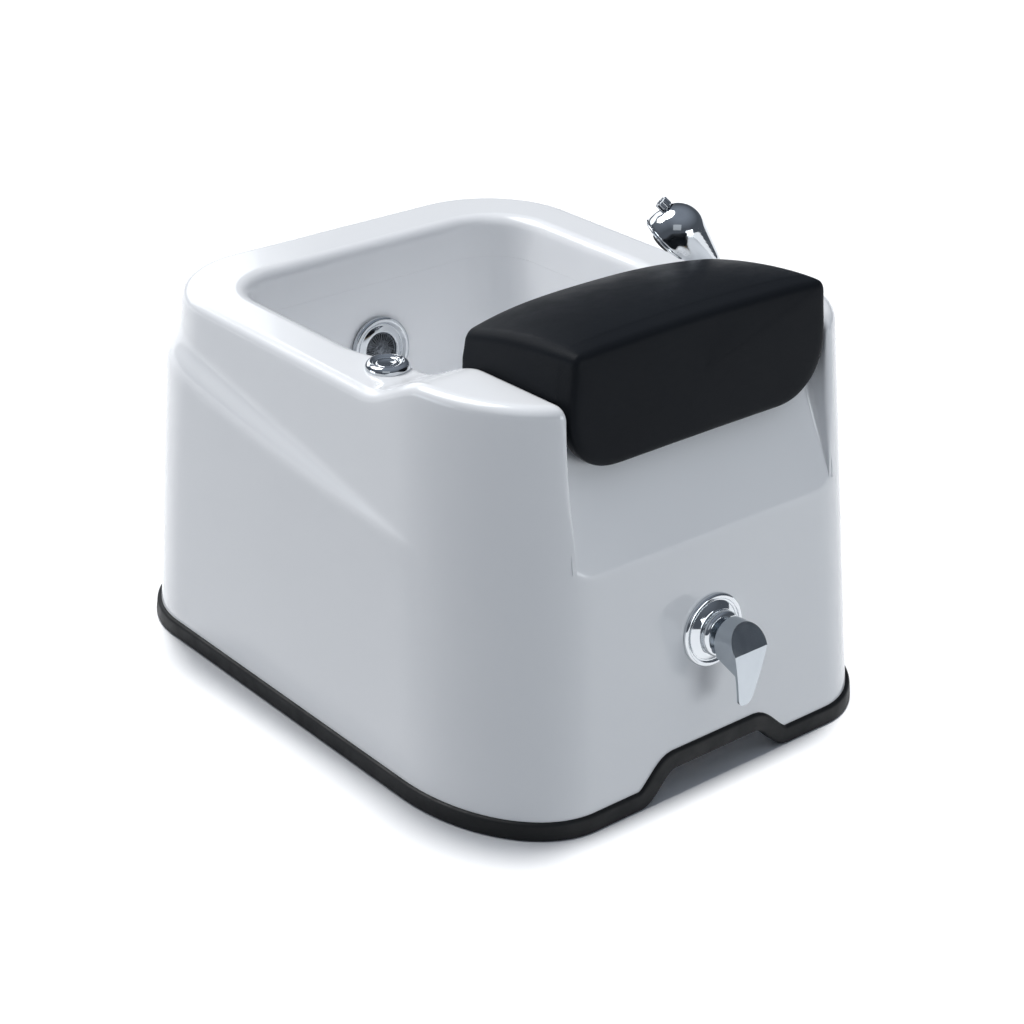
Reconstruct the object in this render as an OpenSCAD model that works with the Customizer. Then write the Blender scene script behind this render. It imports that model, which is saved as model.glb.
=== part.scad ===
// Free-standing pedicure foot spa: a moulded tub with its foot basin, footrest pad,
// wall mixer, pull-up hand shower, air button, water jet and waste.
// Origin: middle of the whole box at floor level. X across, -Y to the mixer side, Z up.

/* [Tub] */
// Width over the base trim
base_w = 570; // [520:5:640]
// Depth over the base trim
base_d = 750; // [700:5:860]
// Height of the rim at the sides and back
rim_z = 424; // [400:2:500]
// Height of the two front cheeks
cheek_z = 457; // [430:1:540]
// Thickness of the moulded skin
wall = 5; // [4:0.5:6]
// Inward lean of the side walls, per mm of height
side_draft = 0.05; // [0.03:0.01:0.08]
// Inward lean of the front wall, per mm of height
front_draft = 0.07; // [0.04:0.01:0.09]
// Inward lean of the back wall, per mm of height
back_draft = 0.15; // [0.1:0.01:0.16]
// Front corner, half axis across
front_corner_x = 113; // [100:1:125]
// Front corner, half axis front to back
front_corner_y = 170; // [140:1:180]
// Radius of the back corners
back_corner_r = 122; // [90:1:130]
// Radius of the outer rim roll
rim_roll = 12; // [10:1:18]
// Distance from the front, at which the rim starts to rise to the cheeks
rise_start = 266; // [240:1:280]
// Length of that rise
rise_len = 100; // [80:1:120]

/* [Basin] */
// Width of the basin mouth
basin_w = 390; // [370:2:400]
// Deck from the back of the base to the basin mouth
deck_back = 145; // [135:1:170]
// Tub front to the basin mouth under the footrest
deck_front = 206; // [200:1:215]
// Corner radius of the mouth at the back
basin_back_r = 67; // [64:1:80]
// Corner radius of the mouth at the front
basin_front_r = 62; // [60:1:70]
// Radius of the roll into the basin
lip_roll = 15; // [12:1:18]
// Height of the basin floor
floor_z = 150; // [140:1:180]
// Inward lean of the basin walls, per mm of depth
basin_draft = 0.12; // [0.08:0.01:0.13]
// Fillet between basin wall and floor
basin_fillet = 30; // [20:1:32]
// Height of the bottom of the tub's lip inside the basin
lip_z = 376; // [370:1:380]
// How far the basin's flange stands up behind the lip
flange_lap = 18; // [10:1:19]

/* [Footrest channel] */
// Width of the channel between the cheeks
channel_w = 348; // [330:2:360]
// Height of the crease where the front face turns in
crease_z = 277; // [250:1:300]
// Height of the ledge under the footrest
ledge_z = 402; // [392:1:406]
// How far the ramp above the crease leans back
ramp_run = 51; // [40:1:55]

/* [Side step] */
// Height of the step line at the back
step_z = 373; // [350:1:380]
// Height at which the step runs out at the front
step_low_z = 292; // [270:1:310]
// Depth of the step at the back
step_deep = 13; // [8:1:16]
// Height of its sloping ledge
step_h = 24; // [16:1:30]

/* [Base trim] */
// Height of the rubber trim
trim_h = 20; // [16:1:24]
// How far the trim stands proud of the tub
trim_proud = 5; // [4:0.5:6]
// Rubber under the tub's edge
trim_sole = 6; // [4:0.5:8]
// Rubber behind the tub's edge
trim_back = 3; // [2:0.5:4]
// Clear height of the toe arch in the front
arch_h = 31; // [20:1:36]
// Half width of the arch at the floor
arch_out = 105; // [90:1:110]
// Half width of the flat top of the arch
arch_in = 58; // [40:1:65]

/* [Footrest pad] */
// Height of the front top edge
pad_z = 508; // [495:1:560]
// Height of the back top edge
pad_back_z = 481; // [475:1:530]
// Height of the bottom of the front nose
pad_nose_z = 377; // [372:1:390]
// Thickness of the nose, front to back
pad_nose = 22; // [16:1:24]
// Depth at the ends
pad_end_d = 172; // [160:1:175]
// Extra depth at the middle, from the bowed back
pad_bow = 22; // [10:1:28]
// How far the ends lean in at the top
pad_lean = 3; // [2:1:12]
// Gap between the pad and each cheek
pad_gap = 1.2; // [0.8:0.1:3]
// Distance of the pad's front from the tub's front
pad_set_back = 42; // [36:1:46]
// Thickness of the board under the pad
board_t = 10; // [8:1:14]
// Distance between the two locating pins
pin_pitch = 220; // [160:5:260]
// Radius of a locating pin
pin_r = 6; // [5:0.5:8]
// Length of a pin below the board
pin_len = 32; // [24:1:40]

/* [Mixer] */
// Height of the mixer
mixer_z = 170; // [150:1:190]
// Radius of the cover plate
plate_r = 40; // [34:1:44]
// Radius of the threaded sleeve through the wall
sleeve_r = 17.5; // [16:0.5:18.5]
// Radius of the bonnet
bonnet_r = 25; // [24:0.5:27]
// Radius of the lever's hub
hub_r = 23; // [21:0.5:24]
// Distance of the hub's back from the wall
hub_back = 28; // [27:0.5:32]
// Distance of the lever's brow from the wall
lever_reach = 58; // [52:1:66]
// Length of the lever below the axis
lever_drop = 70; // [55:1:80]
// Radius of the lever's tip
lever_tip_r = 10; // [7:0.5:11]
// Distance of the hot and cold tails from the middle
tail_pitch = 44; // [40:1:60]
// Outer radius of the hot and cold tails
tail_r = 10.5; // [9:0.5:12]

/* [Hand shower] */
// Distance of the collar from the middle
shower_x = 214; // [208:1:218]
// Distance of the collar from the tub's front
shower_back = 268; // [262:1:276]
// Radius of the collar's flange
collar_r = 23; // [20:0.5:24]
// Radius of the bore in the collar
collar_bore = 15; // [13:0.5:16]
// Radius of the handle at its thickest
handle_r = 17; // [16:0.5:19]
// Radius of the spray face
face_r = 29; // [25:0.5:32]
// Distance of the face's middle from the handle axis
face_out = 47; // [44:1:52]
// Height of the face's middle above the deck
face_up = 46; // [42:1:52]
// Direction that the face looks, seen from above
face_turn = 141; // [120:1:160]
// Radius of the hose
hose_r = 7; // [6:0.5:8]

/* [Air button] */
// Distance of the button from the middle
button_x = 203; // [200:1:210]
// Distance of the button from the tub's front
button_back = 293; // [288:1:330]
// Radius of its bezel
bezel_r = 23.5; // [20:0.5:25]
// Height of the bezel
bezel_h = 8; // [6:0.5:10]
// Radius of the moving cap
cap_r = 12.5; // [10:0.5:13]
// Travel of the cap
cap_travel = 3; // [2:0.5:4]

/* [Jet] */
// Height of the jet
jet_z = 297; // [270:1:310]
// Radius of the jet's ring
jet_r = 40; // [36:1:44]
// Radius of the strainer disc
strainer_r = 21; // [18:0.5:23]
// Radius of the jet housing's thread
jet_thread_r = 26; // [24:0.5:28]
// Radius of the motor
motor_r = 31; // [26:0.5:34]
// Length of the motor
motor_l = 44; // [36:1:48]

/* [Waste] */
// Distance of the waste from the back edge of the basin
waste_fwd = 204; // [180:1:220]
// Radius of the waste flange
waste_r = 35; // [30:0.5:38]
// Radius of the tailpipe
pipe_r = 20; // [16:0.5:20]
// Height of the tailpipe's end above the floor
pipe_z = 50; // [40:1:70]

/* [Support frame] */
// Size of the square tube
tube = 25; // [20:1:30]
// Thickness of the plate that hangs the control box
hanger_t = 2; // [1.5:0.5:3]
// Distance between the side rails
frame_w = 210; // [190:2:230]
// Distance between the end rails
frame_d = 230; // [200:2:250]
// Thickness of the rubber between frame and basin
pad_t = 5; // [3:1:8]
// Thickness of rubber under a leg
foot_t = 4; // [3:0.5:6]

/* [Hidden] */

function clamp01(v) = min(1, max(0, v));
function smooth(v) = let (u = clamp01(v)) u * u * (3 - 2 * u);
function mix(a, b, s) = a + (b - a) * s;

// small clearances
fit = 0.05;
seat = 0.3;

front_tilt = atan(front_draft);
basin_tilt = atan(basin_draft);

// the base sits back by what the lever stands out, so the box is centred
brow_drop = 5;
lever_out = lever_reach * cos(front_tilt) + brow_drop * sin(front_tilt);
base_cy = (lever_out - trim_proud - front_draft * mixer_z) / 2;
front_y = base_cy - base_d / 2;
back_y = base_cy + base_d / 2;
channel_hw = channel_w / 2;
basin_hw = basin_w / 2;
basin_front_y = front_y + deck_front;
basin_back_y = back_y - deck_back;
edge_top = rim_z - lip_roll;
rise_y = front_y + rise_start;

// ---------------------------------------------------------------- plan outlines
// one half has its columns in five runs: front, front corner, side, back corner, back
arch_steps = 6;
front_xs = concat([0, arch_in / 3, arch_in * 2 / 3],
                  [for (i = [0:arch_steps]) mix(arch_in, arch_out, i / arch_steps)],
                  [mix(arch_out, channel_hw, 0.5), channel_hw]);
nf = len(front_xs);
nc = 9;
ns = 10;
nb = 8;
nk = 2;
half_n = nf + nc + ns + nb + nk;
ring_n = 2 * half_n - 2;

function ring_col(k) = k < half_n ? k : ring_n - k;
function ring_side(k) = k < half_n ? 1 : -1;

function tub_hw(z) = base_w / 2 - trim_proud - side_draft * z;
function tub_front(z) = front_y + trim_proud + front_draft * z;
function tub_back(z) = back_y - trim_proud - back_draft * z;

// front wall at x, with the corner's ellipse beyond its flat part; t is an inset
function front_wall_y(x, z, t) =
    let (xc = tub_hw(z) - front_corner_x, yc = tub_front(z) + front_corner_y)
    yc - (front_corner_y - t) * sqrt(1 - pow(clamp01((x - xc) / (front_corner_x - t)), 2));

// outer wall, column c at height z, inset by t
function tub_pt(c, z, t) =
    let (hw = tub_hw(z), xc = hw - front_corner_x, yc = tub_front(z) + front_corner_y,
         xb = hw - back_corner_r, yb = tub_back(z) - back_corner_r)
    c < nf ? [front_xs[c], front_wall_y(front_xs[c], z, t)]
    : c < nf + nc ?
        let (a0 = asin(clamp01((channel_hw - xc) / (front_corner_x - t))),
             a = mix(a0, 90, (c - nf + 1) / nc))
        [xc + (front_corner_x - t) * sin(a), yc - (front_corner_y - t) * cos(a)]
    : c < nf + nc + ns ? [hw - t, mix(yc, yb, (c - nf - nc + 1) / ns)]
    : c < nf + nc + ns + nb ?
        let (a = 90 * (c - nf - nc - ns + 1) / nb)
        [xb + (back_corner_r - t) * cos(a), yb + (back_corner_r - t) * sin(a)]
    : [xb * (1 - (c - nf - nc - ns - nb + 1) / nk), tub_back(z) - t];

// half width of the basin mouth, which narrows to the channel
neck_y = basin_front_y + basin_front_r;
neck_len = 100;
function mouth_hw(y) = mix(channel_hw, basin_hw, smooth((y - neck_y - 8) / neck_len));

// basin mouth, column c, grown outward by e
function mouth_pt(c, e) =
    let (xf = channel_hw - basin_front_r, xb = basin_hw - basin_back_r,
         yb = basin_back_y - basin_back_r)
    c < nf ? [front_xs[c] * xf / channel_hw, basin_front_y - e]
    : c < nf + nc ?
        let (a = 90 * (c - nf + 1) / nc)
        [xf + (basin_front_r + e) * sin(a), neck_y - (basin_front_r + e) * cos(a)]
    : c < nf + nc + ns ?
        let (y = mix(neck_y, yb, (c - nf - nc + 1) / ns))
        [mouth_hw(y) + e, y]
    : c < nf + nc + ns + nb ?
        let (a = 90 * (c - nf - nc - ns + 1) / nb)
        [xb + (basin_back_r + e) * cos(a), yb + (basin_back_r + e) * sin(a)]
    : [xb * (1 - (c - nf - nc - ns - nb + 1) / nk), basin_back_y + e];

function basin_inset(z) = min(0, basin_draft * (z - edge_top));

// ------------------------------------------------------------------ heights
function rim_h(y) = mix(rim_z, cheek_z, smooth((rise_y - y) / rise_len));
function arch_lift(x) = arch_h * smooth((arch_out - x) / (arch_out - arch_in));
step_front_y = front_y + 180;
step_back_y = back_y - 154;
function step_share(y) = clamp01((y - step_front_y) / (step_back_y - step_front_y));
function step_at(y) = mix(step_low_z, step_z, step_share(y));
function step_fade(y) = 1 - pow(1 - step_share(y), 2);

// ------------------------------------------------------------- ring surfaces
function pt3(side, p, z) = [side * p.x, p.y, z];

// triangles of a grid of n columns with m points each, closed both ways
function ring_faces(n, m) =
    [for (k = [0:n - 1]) for (j = [0:m - 1])
        let (a = k * m + j, b = k * m + (j + 1) % m,
             c = ((k + 1) % n) * m + j, d = ((k + 1) % n) * m + (j + 1) % m)
        each [[a, b, d], [a, d, c]]];

// the same, but open at both ends of a column, where a flat face closes it
function cup_faces(n, m) =
    concat([for (k = [0:n - 1]) for (j = [0:m - 2])
        let (a = k * m + j, b = a + 1, c = ((k + 1) % n) * m + j, d = c + 1)
        each [[a, d, b], [a, c, d]]],
        [[for (k = [n - 1:-1:0]) k * m]],
        [[for (k = [0:n - 1]) k * m + m - 1]]);

// a round tube along a route, 8 sides
function unit(v) = v / norm(v);
function tangent(r, i) = unit(r[min(i + 1, len(r) - 1)] - r[max(i - 1, 0)]);
function tube_pts(route, r, sides, side_dir) =
    [for (i = [0:len(route) - 1])
        let (t = tangent(route, i), u = unit(side_dir - (side_dir * t) * t), v = cross(t, u))
        for (s = [0:sides - 1])
            route[i] + r * (cos(360 * s / sides) * u + sin(360 * s / sides) * v)];
module tube_along(route, r, sides, side_dir) {
    n = len(route);
    polyhedron(tube_pts(route, r, sides, side_dir),
        concat([[for (s = [0:sides - 1]) s]],
            [for (i = [0:n - 2]) for (s = [0:sides - 1])
                let (a = i * sides + s, b = i * sides + (s + 1) % sides)
                each [[a, b + sides, b], [a, a + sides, b + sides]]],
            [[for (s = [sides - 1:-1:0]) (n - 1) * sides + s]]));
}

// a smooth route through hand-placed points
function bend(p, i, u) =
    let (a = p[max(i - 1, 0)], b = p[i], c = p[i + 1], d = p[min(i + 2, len(p) - 1)])
    0.5 * (2 * b + (c - a) * u + (2 * a - 5 * b + 4 * c - d) * u * u
           + (3 * b - a - 3 * c + d) * u * u * u);
function route_of(p, steps) =
    concat([for (i = [0:len(p) - 2]) for (s = [0:steps - 1]) bend(p, i, s / steps)], [p[len(p) - 1]]);
// the same, with the first and last stretch left straight
function lead_route(p, steps) =
    concat([p[0]], route_of([for (i = [1:len(p) - 2]) p[i]], steps), [p[len(p) - 1]]);

// ------------------------------------------------------------------ local frames
module on_front() {
    translate([0, tub_front(mixer_z), mixer_z]) rotate([90 - front_tilt, 0, 0]) children();
}
basin_wall_y = basin_back_y + basin_inset(jet_z);
module on_basin_wall() {
    translate([0, basin_wall_y, jet_z]) rotate([90 - basin_tilt, 0, 0]) children();
}
button_y = front_y + button_back;
module on_button() {
    translate([-button_x, button_y, rim_z]) children();
}
shower_y = front_y + shower_back;
shower_z = rim_h(shower_y - collar_r);
module on_shower() {
    translate([shower_x, shower_y, shower_z]) children();
}
waste_y = basin_back_y - waste_fwd;
module on_waste() {
    translate([0, waste_y, floor_z]) children();
}

// a ring or disc turned from radius and height
module washer(ro, ri, z0, z1) {
    translate([0, 0, z0]) difference() {
        cylinder(r = ro, h = z1 - z0, $fn = 64);
        translate([0, 0, -1]) cylinder(r = ri, h = z1 - z0 + 2, $fn = 64);
    }
}
module hex_nut(flats, ri, z0, z1) {
    translate([0, 0, z0]) difference() {
        cylinder(r = flats / 2 / cos(30), h = z1 - z0, $fn = 6);
        translate([0, 0, -1]) cylinder(r = ri, h = z1 - z0 + 2, $fn = 64);
    }
}

// ================================================================== tub shell
mid_skin = wall / 2;

// one column of the shell's skin, from the bottom edge over the rim to the lip; t is an inset
function shell_col(c, t, s, roll_steps, deck_rows) =
    let (y0 = tub_pt(c, rim_z, 0).y, top = rim_h(y0), zr = top - rim_roll,
         zb = trim_sole + (c < nf ? arch_lift(front_xs[c]) : 0), zt = zb + trim_h - trim_sole + 2,
         z2 = step_at(y0), z1 = z2 - mix(6, step_h, step_fade(y0)),
         crest = tub_pt(c, zr, rim_roll), mouth = mouth_pt(c, lip_roll),
         edge = rim_h(mouth_pt(c, 0).y) - lip_roll)
    concat(
        [pt3(s, tub_pt(c, zb, t), zb),
         pt3(s, tub_pt(c, zt, t), zt),
         pt3(s, tub_pt(c, z1, t - step_deep * step_fade(y0)), z1),
         pt3(s, tub_pt(c, z2, t), z2)],
        [for (i = [0:roll_steps])
            let (a = 90 * i / roll_steps)
            pt3(s, tub_pt(c, zr, rim_roll - (rim_roll - t) * cos(a)), zr + (rim_roll - t) * sin(a))],
        [for (i = [1:deck_rows])
            let (p = mix(crest, mouth, i / (deck_rows + 1)))
            pt3(s, p, rim_h(p.y) - t)],
        [for (i = [roll_steps:-1:0])
            let (a = 90 * i / roll_steps)
            pt3(s, mouth_pt(c, lip_roll - (lip_roll - t) * cos(a)), edge + (lip_roll - t) * sin(a))],
        [pt3(s, mouth_pt(c, t + basin_inset(lip_z)), lip_z)]);

module shell_skin() {
    cols = [for (k = [0:ring_n - 1])
        let (c = ring_col(k), s = ring_side(k),
             skin = shell_col(c, 0, s, 3, 4), lining = shell_col(c, wall, s, 2, 2))
        concat(skin, [for (i = [len(lining) - 1:-1:0]) lining[i]])];
    polyhedron([for (col = cols) each col], ring_faces(ring_n, len(cols[0])), convexity = 8);
}

// a batten laminated to the back of the skin
rib_r = 4;
module rib(a, b) {
    hull() {
        translate(a) sphere(r = rib_r, $fn = 12);
        translate(b) sphere(r = rib_r, $fn = 12);
    }
}
module shell_ribs() {
    for (side = [-1, 1])
        for (c = [nf + nc + 1:2:nf + nc + ns - 1])
            rib(pt3(side, tub_pt(c, 40, wall), 40), pt3(side, tub_pt(c, 240, wall), 240));
}
module basin_ribs() {
    low = floor_z + basin_fillet + 10;
    high = lip_z - 4 * wall;
    for (side = [-1, 1])
        for (c = [nf + nc + 2:2:nf + nc + ns - 2])
            rib(pt3(side, mouth_pt(c, basin_inset(low) + wall), low),
                pt3(side, mouth_pt(c, basin_inset(high) + wall), high));
}

crease_y = tub_front(crease_z);
ledge_y = crease_y + ramp_run;
ramp_slope = ramp_run / (ledge_z - crease_z);
ramp_below = 30;
bite = 1;
cut_side = 0.15;

// what the channel takes out of the moulding
module channel_cutter() {
    hw = channel_hw + cut_side;
    back = neck_y + bite;
    translate([-hw, 0, 0]) rotate([90, 0, 90])
        linear_extrude(2 * hw)
            polygon([[crease_y - ramp_slope * ramp_below, crease_z - ramp_below],
                     [front_y - 60, crease_z - ramp_below], [front_y - 60, cheek_z + 60],
                     [back, cheek_z + 60], [back, ledge_z], [ledge_y, ledge_z]]);
}

// ramp, ledge and the two cheek walls that line the channel
module channel_lining() {
    reach = channel_hw + mid_skin;
    translate([-reach, 0, 0]) rotate([90, 0, 90])
        linear_extrude(2 * reach)
            polygon([[crease_y + mid_skin - ramp_slope * wall, crease_z - wall],
                     [ledge_y, ledge_z + bite], [ledge_y, ledge_z - wall],
                     [ledge_y + wall - ramp_slope * wall, ledge_z - wall],
                     [crease_y + wall, crease_z - wall]]);
    translate([0, 0, ledge_z - wall]) linear_extrude(wall + bite)
        polygon(concat([[-reach, ledge_y], [reach, ledge_y], [reach, neck_y - bite]],
            [for (c = [nf + nc - 2:-1:0]) mouth_pt(c, mid_skin)],
            [for (c = [1:nf + nc - 2]) let (p = mouth_pt(c, mid_skin)) [-p.x, p.y]],
            [[-reach, neck_y - bite]]));
    for (side = [-1, 1])
        translate([side < 0 ? -channel_hw - wall : channel_hw - mid_skin, 0, 0]) rotate([90, 0, 90])
            linear_extrude(wall + mid_skin) polygon(cheek_outline());
}
function cheek_outline() =
    let (c = nf - 1, zr = cheek_z - rim_roll, crest_y = tub_pt(c, zr, rim_roll).y)
    concat(
        [[tub_pt(c, crease_z - wall, mid_skin).y, crease_z - wall]],
        [for (a = [0, 45, 90])
            [tub_pt(c, zr, rim_roll - (rim_roll - mid_skin) * cos(a)).y,
             zr + (rim_roll - mid_skin) * sin(a)]],
        [for (i = [1:8]) let (y = mix(crest_y, neck_y - bite, i / 8)) [y, rim_h(y) - mid_skin]],
        [[neck_y - bite, ledge_z - bite], [ledge_y + wall, ledge_z - bite], [ledge_y, ledge_z - wall]]);

collar_seat = wall + 4;
shank_r = 15.5;
shank_l = 26;
cap_under = 8;
button_nut = 36;
button_nut_h = 8;
bush_r = pin_r + 3;
mixer_hole = sleeve_r + 1;
button_hole = shank_r + 0.5;
module tub_shell() {
    color("whitesmoke") difference() {
        union() {
            shell_skin();
            shell_ribs();
            channel_lining();
            // level seat of the shower collar on the rising deck
            on_shower() translate([0, 0, -collar_seat])
                cylinder(r = collar_r + 1, h = collar_seat, $fn = 64);
        }
        channel_cutter();
        on_front() translate([0, 0, -3 * wall]) cylinder(r = mixer_hole, h = 4 * wall, $fn = 64);
        on_button() translate([0, 0, -2 * wall]) cylinder(r = button_hole, h = 3 * wall, $fn = 64);
        on_button() cylinder(r = bezel_r + 0.4, h = 2 * wall, $fn = 64);
        // spot face for the button's nut
        on_button() translate([0, 0, -wall - button_nut_h - 1])
            cylinder(r = button_nut / 2 / cos(30) + 0.5, h = button_nut_h + 1, $fn = 64);
        on_shower() translate([0, 0, -3 * wall]) cylinder(r = collar_bore + 3.5, h = 4 * wall, $fn = 64);
        on_shower() cylinder(r = collar_r + 0.4, h = 2 * wall, $fn = 64);
        for (s = [-1, 1])
            translate([s * pin_pitch / 2, pin_y, ledge_z - 2 * wall])
                cylinder(r = bush_r + fit, h = 3 * wall, $fn = 48);
    }
}

// ================================================================= foot basin
module foot_basin() {
    lap_in = wall + seat;
    lap_out = 2 * wall - 1;
    top_z = lip_z - seat;
    fillet_z = floor_z + basin_fillet;
    cols = [for (k = [0:ring_n - 1])
        let (c = ring_col(k), s = ring_side(k))
        concat(
            [for (a = [90:-22.5:0])
                pt3(s, mouth_pt(c, basin_inset(fillet_z) - basin_fillet * (1 - cos(a))),
                    fillet_z - basin_fillet * sin(a))],
            [pt3(s, mouth_pt(c, basin_inset(top_z)), top_z),
             pt3(s, mouth_pt(c, basin_inset(top_z) + lap_in), top_z),
             pt3(s, mouth_pt(c, basin_inset(lip_z + flange_lap) + lap_in), lip_z + flange_lap),
             pt3(s, mouth_pt(c, basin_inset(lip_z + flange_lap) + lap_out), lip_z + flange_lap),
             pt3(s, mouth_pt(c, basin_inset(top_z) + lap_out), top_z - wall),
             pt3(s, mouth_pt(c, basin_inset(top_z - 2 * wall) + wall), top_z - 2 * wall)],
            [for (a = [0:30:90])
                pt3(s, mouth_pt(c, basin_inset(fillet_z) + wall - (basin_fillet + wall) * (1 - cos(a))),
                    fillet_z - (basin_fillet + wall) * sin(a))])];
    color("whitesmoke") difference() {
        union() {
            polyhedron([for (col = cols) each col], cup_faces(ring_n, len(cols[0])), convexity = 8);
            basin_ribs();
        }
        on_waste() translate([0, 0, -2 * wall]) cylinder(r = pipe_r + 4, h = 3 * wall, $fn = 64);
        on_basin_wall() translate([0, 0, -2 * wall])
            cylinder(r = jet_thread_r + 0.5, h = 4 * wall, $fn = 64);
    }
}

// ================================================================== base trim
slot = 0.1;
// a point of the trim's section, u out from the tub's face and v up along its edge
function trim_pt(c, u, v) =
    c < nf ?
        let (x = front_xs[c], d = 0.5,
             m = (arch_lift(x + d) - arch_lift(abs(x - d))) / (2 * d),
             lean = sqrt(1 + m * m), px = max(0, x - v * m / lean),
             pz = trim_sole + arch_lift(x) + v / lean)
        [px, front_wall_y(px, pz, -u), pz]
    : let (p = tub_pt(c, trim_sole + v, -u)) [p.x, p.y, trim_sole + v];

module base_trim() {
    up = trim_h - trim_sole;
    r = 1.5;
    section = [[-wall - trim_back, -trim_sole], [trim_proud - r, -trim_sole], [trim_proud, r - trim_sole],
               [trim_proud, up - r], [trim_proud - r, up], [slot, up], [slot, 0],
               [-wall - slot, 0], [-wall - slot, up - 4], [-wall - trim_back, up - 4]];
    color("black")
        polyhedron(
            [for (k = [0:ring_n - 1])
                let (c = ring_col(k), s = ring_side(k))
                each [for (p = section) let (q = trim_pt(c, p.x, p.y)) [s * q.x, q.y, q.z]]],
            ring_faces(ring_n, len(section)), convexity = 8);
}

// ============================================================== support frame
frame_top = floor_z - wall - pad_t;
frame_y = waste_y + 8;
leg_xs = [-frame_w / 2, frame_w / 2];
leg_ys = [frame_y - frame_d / 2, frame_y + frame_d / 2];
module support_frame() {
    color("silver") {
        for (x = leg_xs) {
            translate([x - tube / 2, leg_ys[0] - tube / 2, frame_top - tube])
                cube([tube, frame_d + tube, tube]);
            for (y = leg_ys)
                translate([x - tube / 2, y - tube / 2, foot_t])
                    cube([tube, tube, frame_top - tube - foot_t]);
        }
        for (y = leg_ys)
            translate([-frame_w / 2, y - tube / 2, frame_top - tube]) cube([frame_w, tube, tube]);
        // hanger of the control box, on the side rail's outer face
        translate([leg_xs[0] - tube / 2 - hanger_t, box_y - box_l / 2, box_z])
            cube([hanger_t, box_l, frame_top - box_z]);
    }
}
module frame_feet() {
    cup = 12;
    color("dimgray")
        for (x = leg_xs) for (y = leg_ys)
            translate([x, y, 0]) difference() {
                translate([-tube / 2 - 3, -tube / 2 - 3, 0]) cube([tube + 6, tube + 6, foot_t + cup]);
                translate([-tube / 2 - fit, -tube / 2 - fit, foot_t])
                    cube([tube + 2 * fit, tube + 2 * fit, cup + 1]);
            }
}
module basin_pads() {
    color("dimgray")
        for (x = leg_xs) for (y = leg_ys)
            translate([x - tube / 2, y - tube / 2, frame_top]) cube([tube, tube, pad_t]);
}

// ====================================================================== waste
spigot_r = pipe_r + 3;
spigot_l = 30;
socket_l = 42;
seal_t = 3;
waste_nut = 10;
module waste_flange() {
    color("silver") on_waste() difference() {
        union() {
            cylinder(r1 = waste_r, r2 = waste_r - 4, h = 3, $fn = 64);
            translate([0, 0, -spigot_l]) cylinder(r = spigot_r, h = spigot_l + 1, $fn = 64);
        }
        translate([0, 0, -spigot_l - 1]) cylinder(r = pipe_r - 2, h = spigot_l + 10, $fn = 64);
        translate([0, 0, -1]) cylinder(r = pipe_r + 2, h = 5, $fn = 64);
    }
}
module waste_gasket() {
    color("dimgray") on_waste() washer(waste_r - 1, spigot_r + fit, -wall - seal_t, -wall);
}
module waste_locknut() {
    color("gainsboro") 
        on_waste() hex_nut(2 * waste_r - 10, spigot_r + fit, -wall - seal_t - waste_nut, -wall - seal_t);
}
module waste_tailpipe() {
    color("gainsboro") on_waste() difference() {
        union() {
            translate([0, 0, pipe_z - floor_z])
                cylinder(r = pipe_r, h = floor_z - pipe_z - spigot_l, $fn = 64);
            translate([0, 0, -socket_l])
                cylinder(r = pipe_r + 6, h = socket_l - wall - waste_nut - seal_t, $fn = 64);
        }
        translate([0, 0, pipe_z - floor_z - 1]) cylinder(r = pipe_r - 2, h = floor_z, $fn = 64);
        translate([0, 0, -spigot_l]) cylinder(r = spigot_r + fit, h = spigot_l, $fn = 64);
    }
}
module waste_plug() {
    color("silver") on_waste() {
        translate([0, 0, -0.5]) cylinder(r = pipe_r + 1.5, h = 3, $fn = 64);
        translate([0, 0, 2.5]) cylinder(r1 = pipe_r + 1.5, r2 = pipe_r - 6, h = 2.5, $fn = 64);
        translate([0, 0, -28]) cylinder(r = 4, h = 28, $fn = 32);
        for (a = [0, 60, 120])
            translate([0, 0, -28]) rotate([0, 0, a]) translate([-(pipe_r - 2.5), -1, 0])
                cube([2 * pipe_r - 5, 2, 14]);
    }
}

// ======================================================================== jet
jet_back = -wall;
chamber_l = 22;
motor_top = jet_back - chamber_l - 14;
housing_t = 2;
spindle_r = 4;
module jet_ring() {
    inner = strainer_r + seat;
    color("silver") on_basin_wall() difference() {
        rotate_extrude($fn = 96)
            polygon([[inner, -1], [jet_thread_r - 3 - fit, -1], [jet_thread_r - 3 - fit, 1.5], [jet_r, 1.5],
                     [jet_r, 4],
                     [jet_r - 2, 6.5], [jet_r - 6, 8], [jet_r - 10, 7], [jet_r - 11, 5],
                     [jet_r - 13, 4.5], [inner + 2, 6], [inner, 4.5]]);
        translate([0, 0, -20]) cylinder(r = inner, h = 19.5, $fn = 64);
    }
}
module jet_strainer() {
    hole_r = 1.6;
    color("silver") on_basin_wall() difference() {
        translate([0, 0, -1]) cylinder(r = strainer_r, h = 4, $fn = 64);
        translate([0, 0, -2]) cylinder(r = hole_r, h = 6, $fn = 16);
        for (ring = [1:3])
            for (i = [0:6 * ring - 1])
                rotate([0, 0, 360 * i / (6 * ring)]) translate([ring * 5.4, 0, -2])
                    cylinder(r = hole_r, h = 6, $fn = 16);
    }
}
module jet_gasket() {
    color("dimgray") on_basin_wall() washer(jet_r - 1, jet_thread_r + fit, 0, 1.5);
}
module jet_housing() {
    color("gainsboro") on_basin_wall() difference() {
        translate([0, 0, motor_top]) cylinder(r = jet_thread_r, h = -motor_top, $fn = 64);
        translate([0, 0, motor_top + housing_t]) cylinder(r = jet_thread_r - 3, h = 60, $fn = 64);
        translate([0, 0, motor_top - 1]) cylinder(r = spindle_r + 0.5, h = housing_t + 2, $fn = 32);
    }
}
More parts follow.
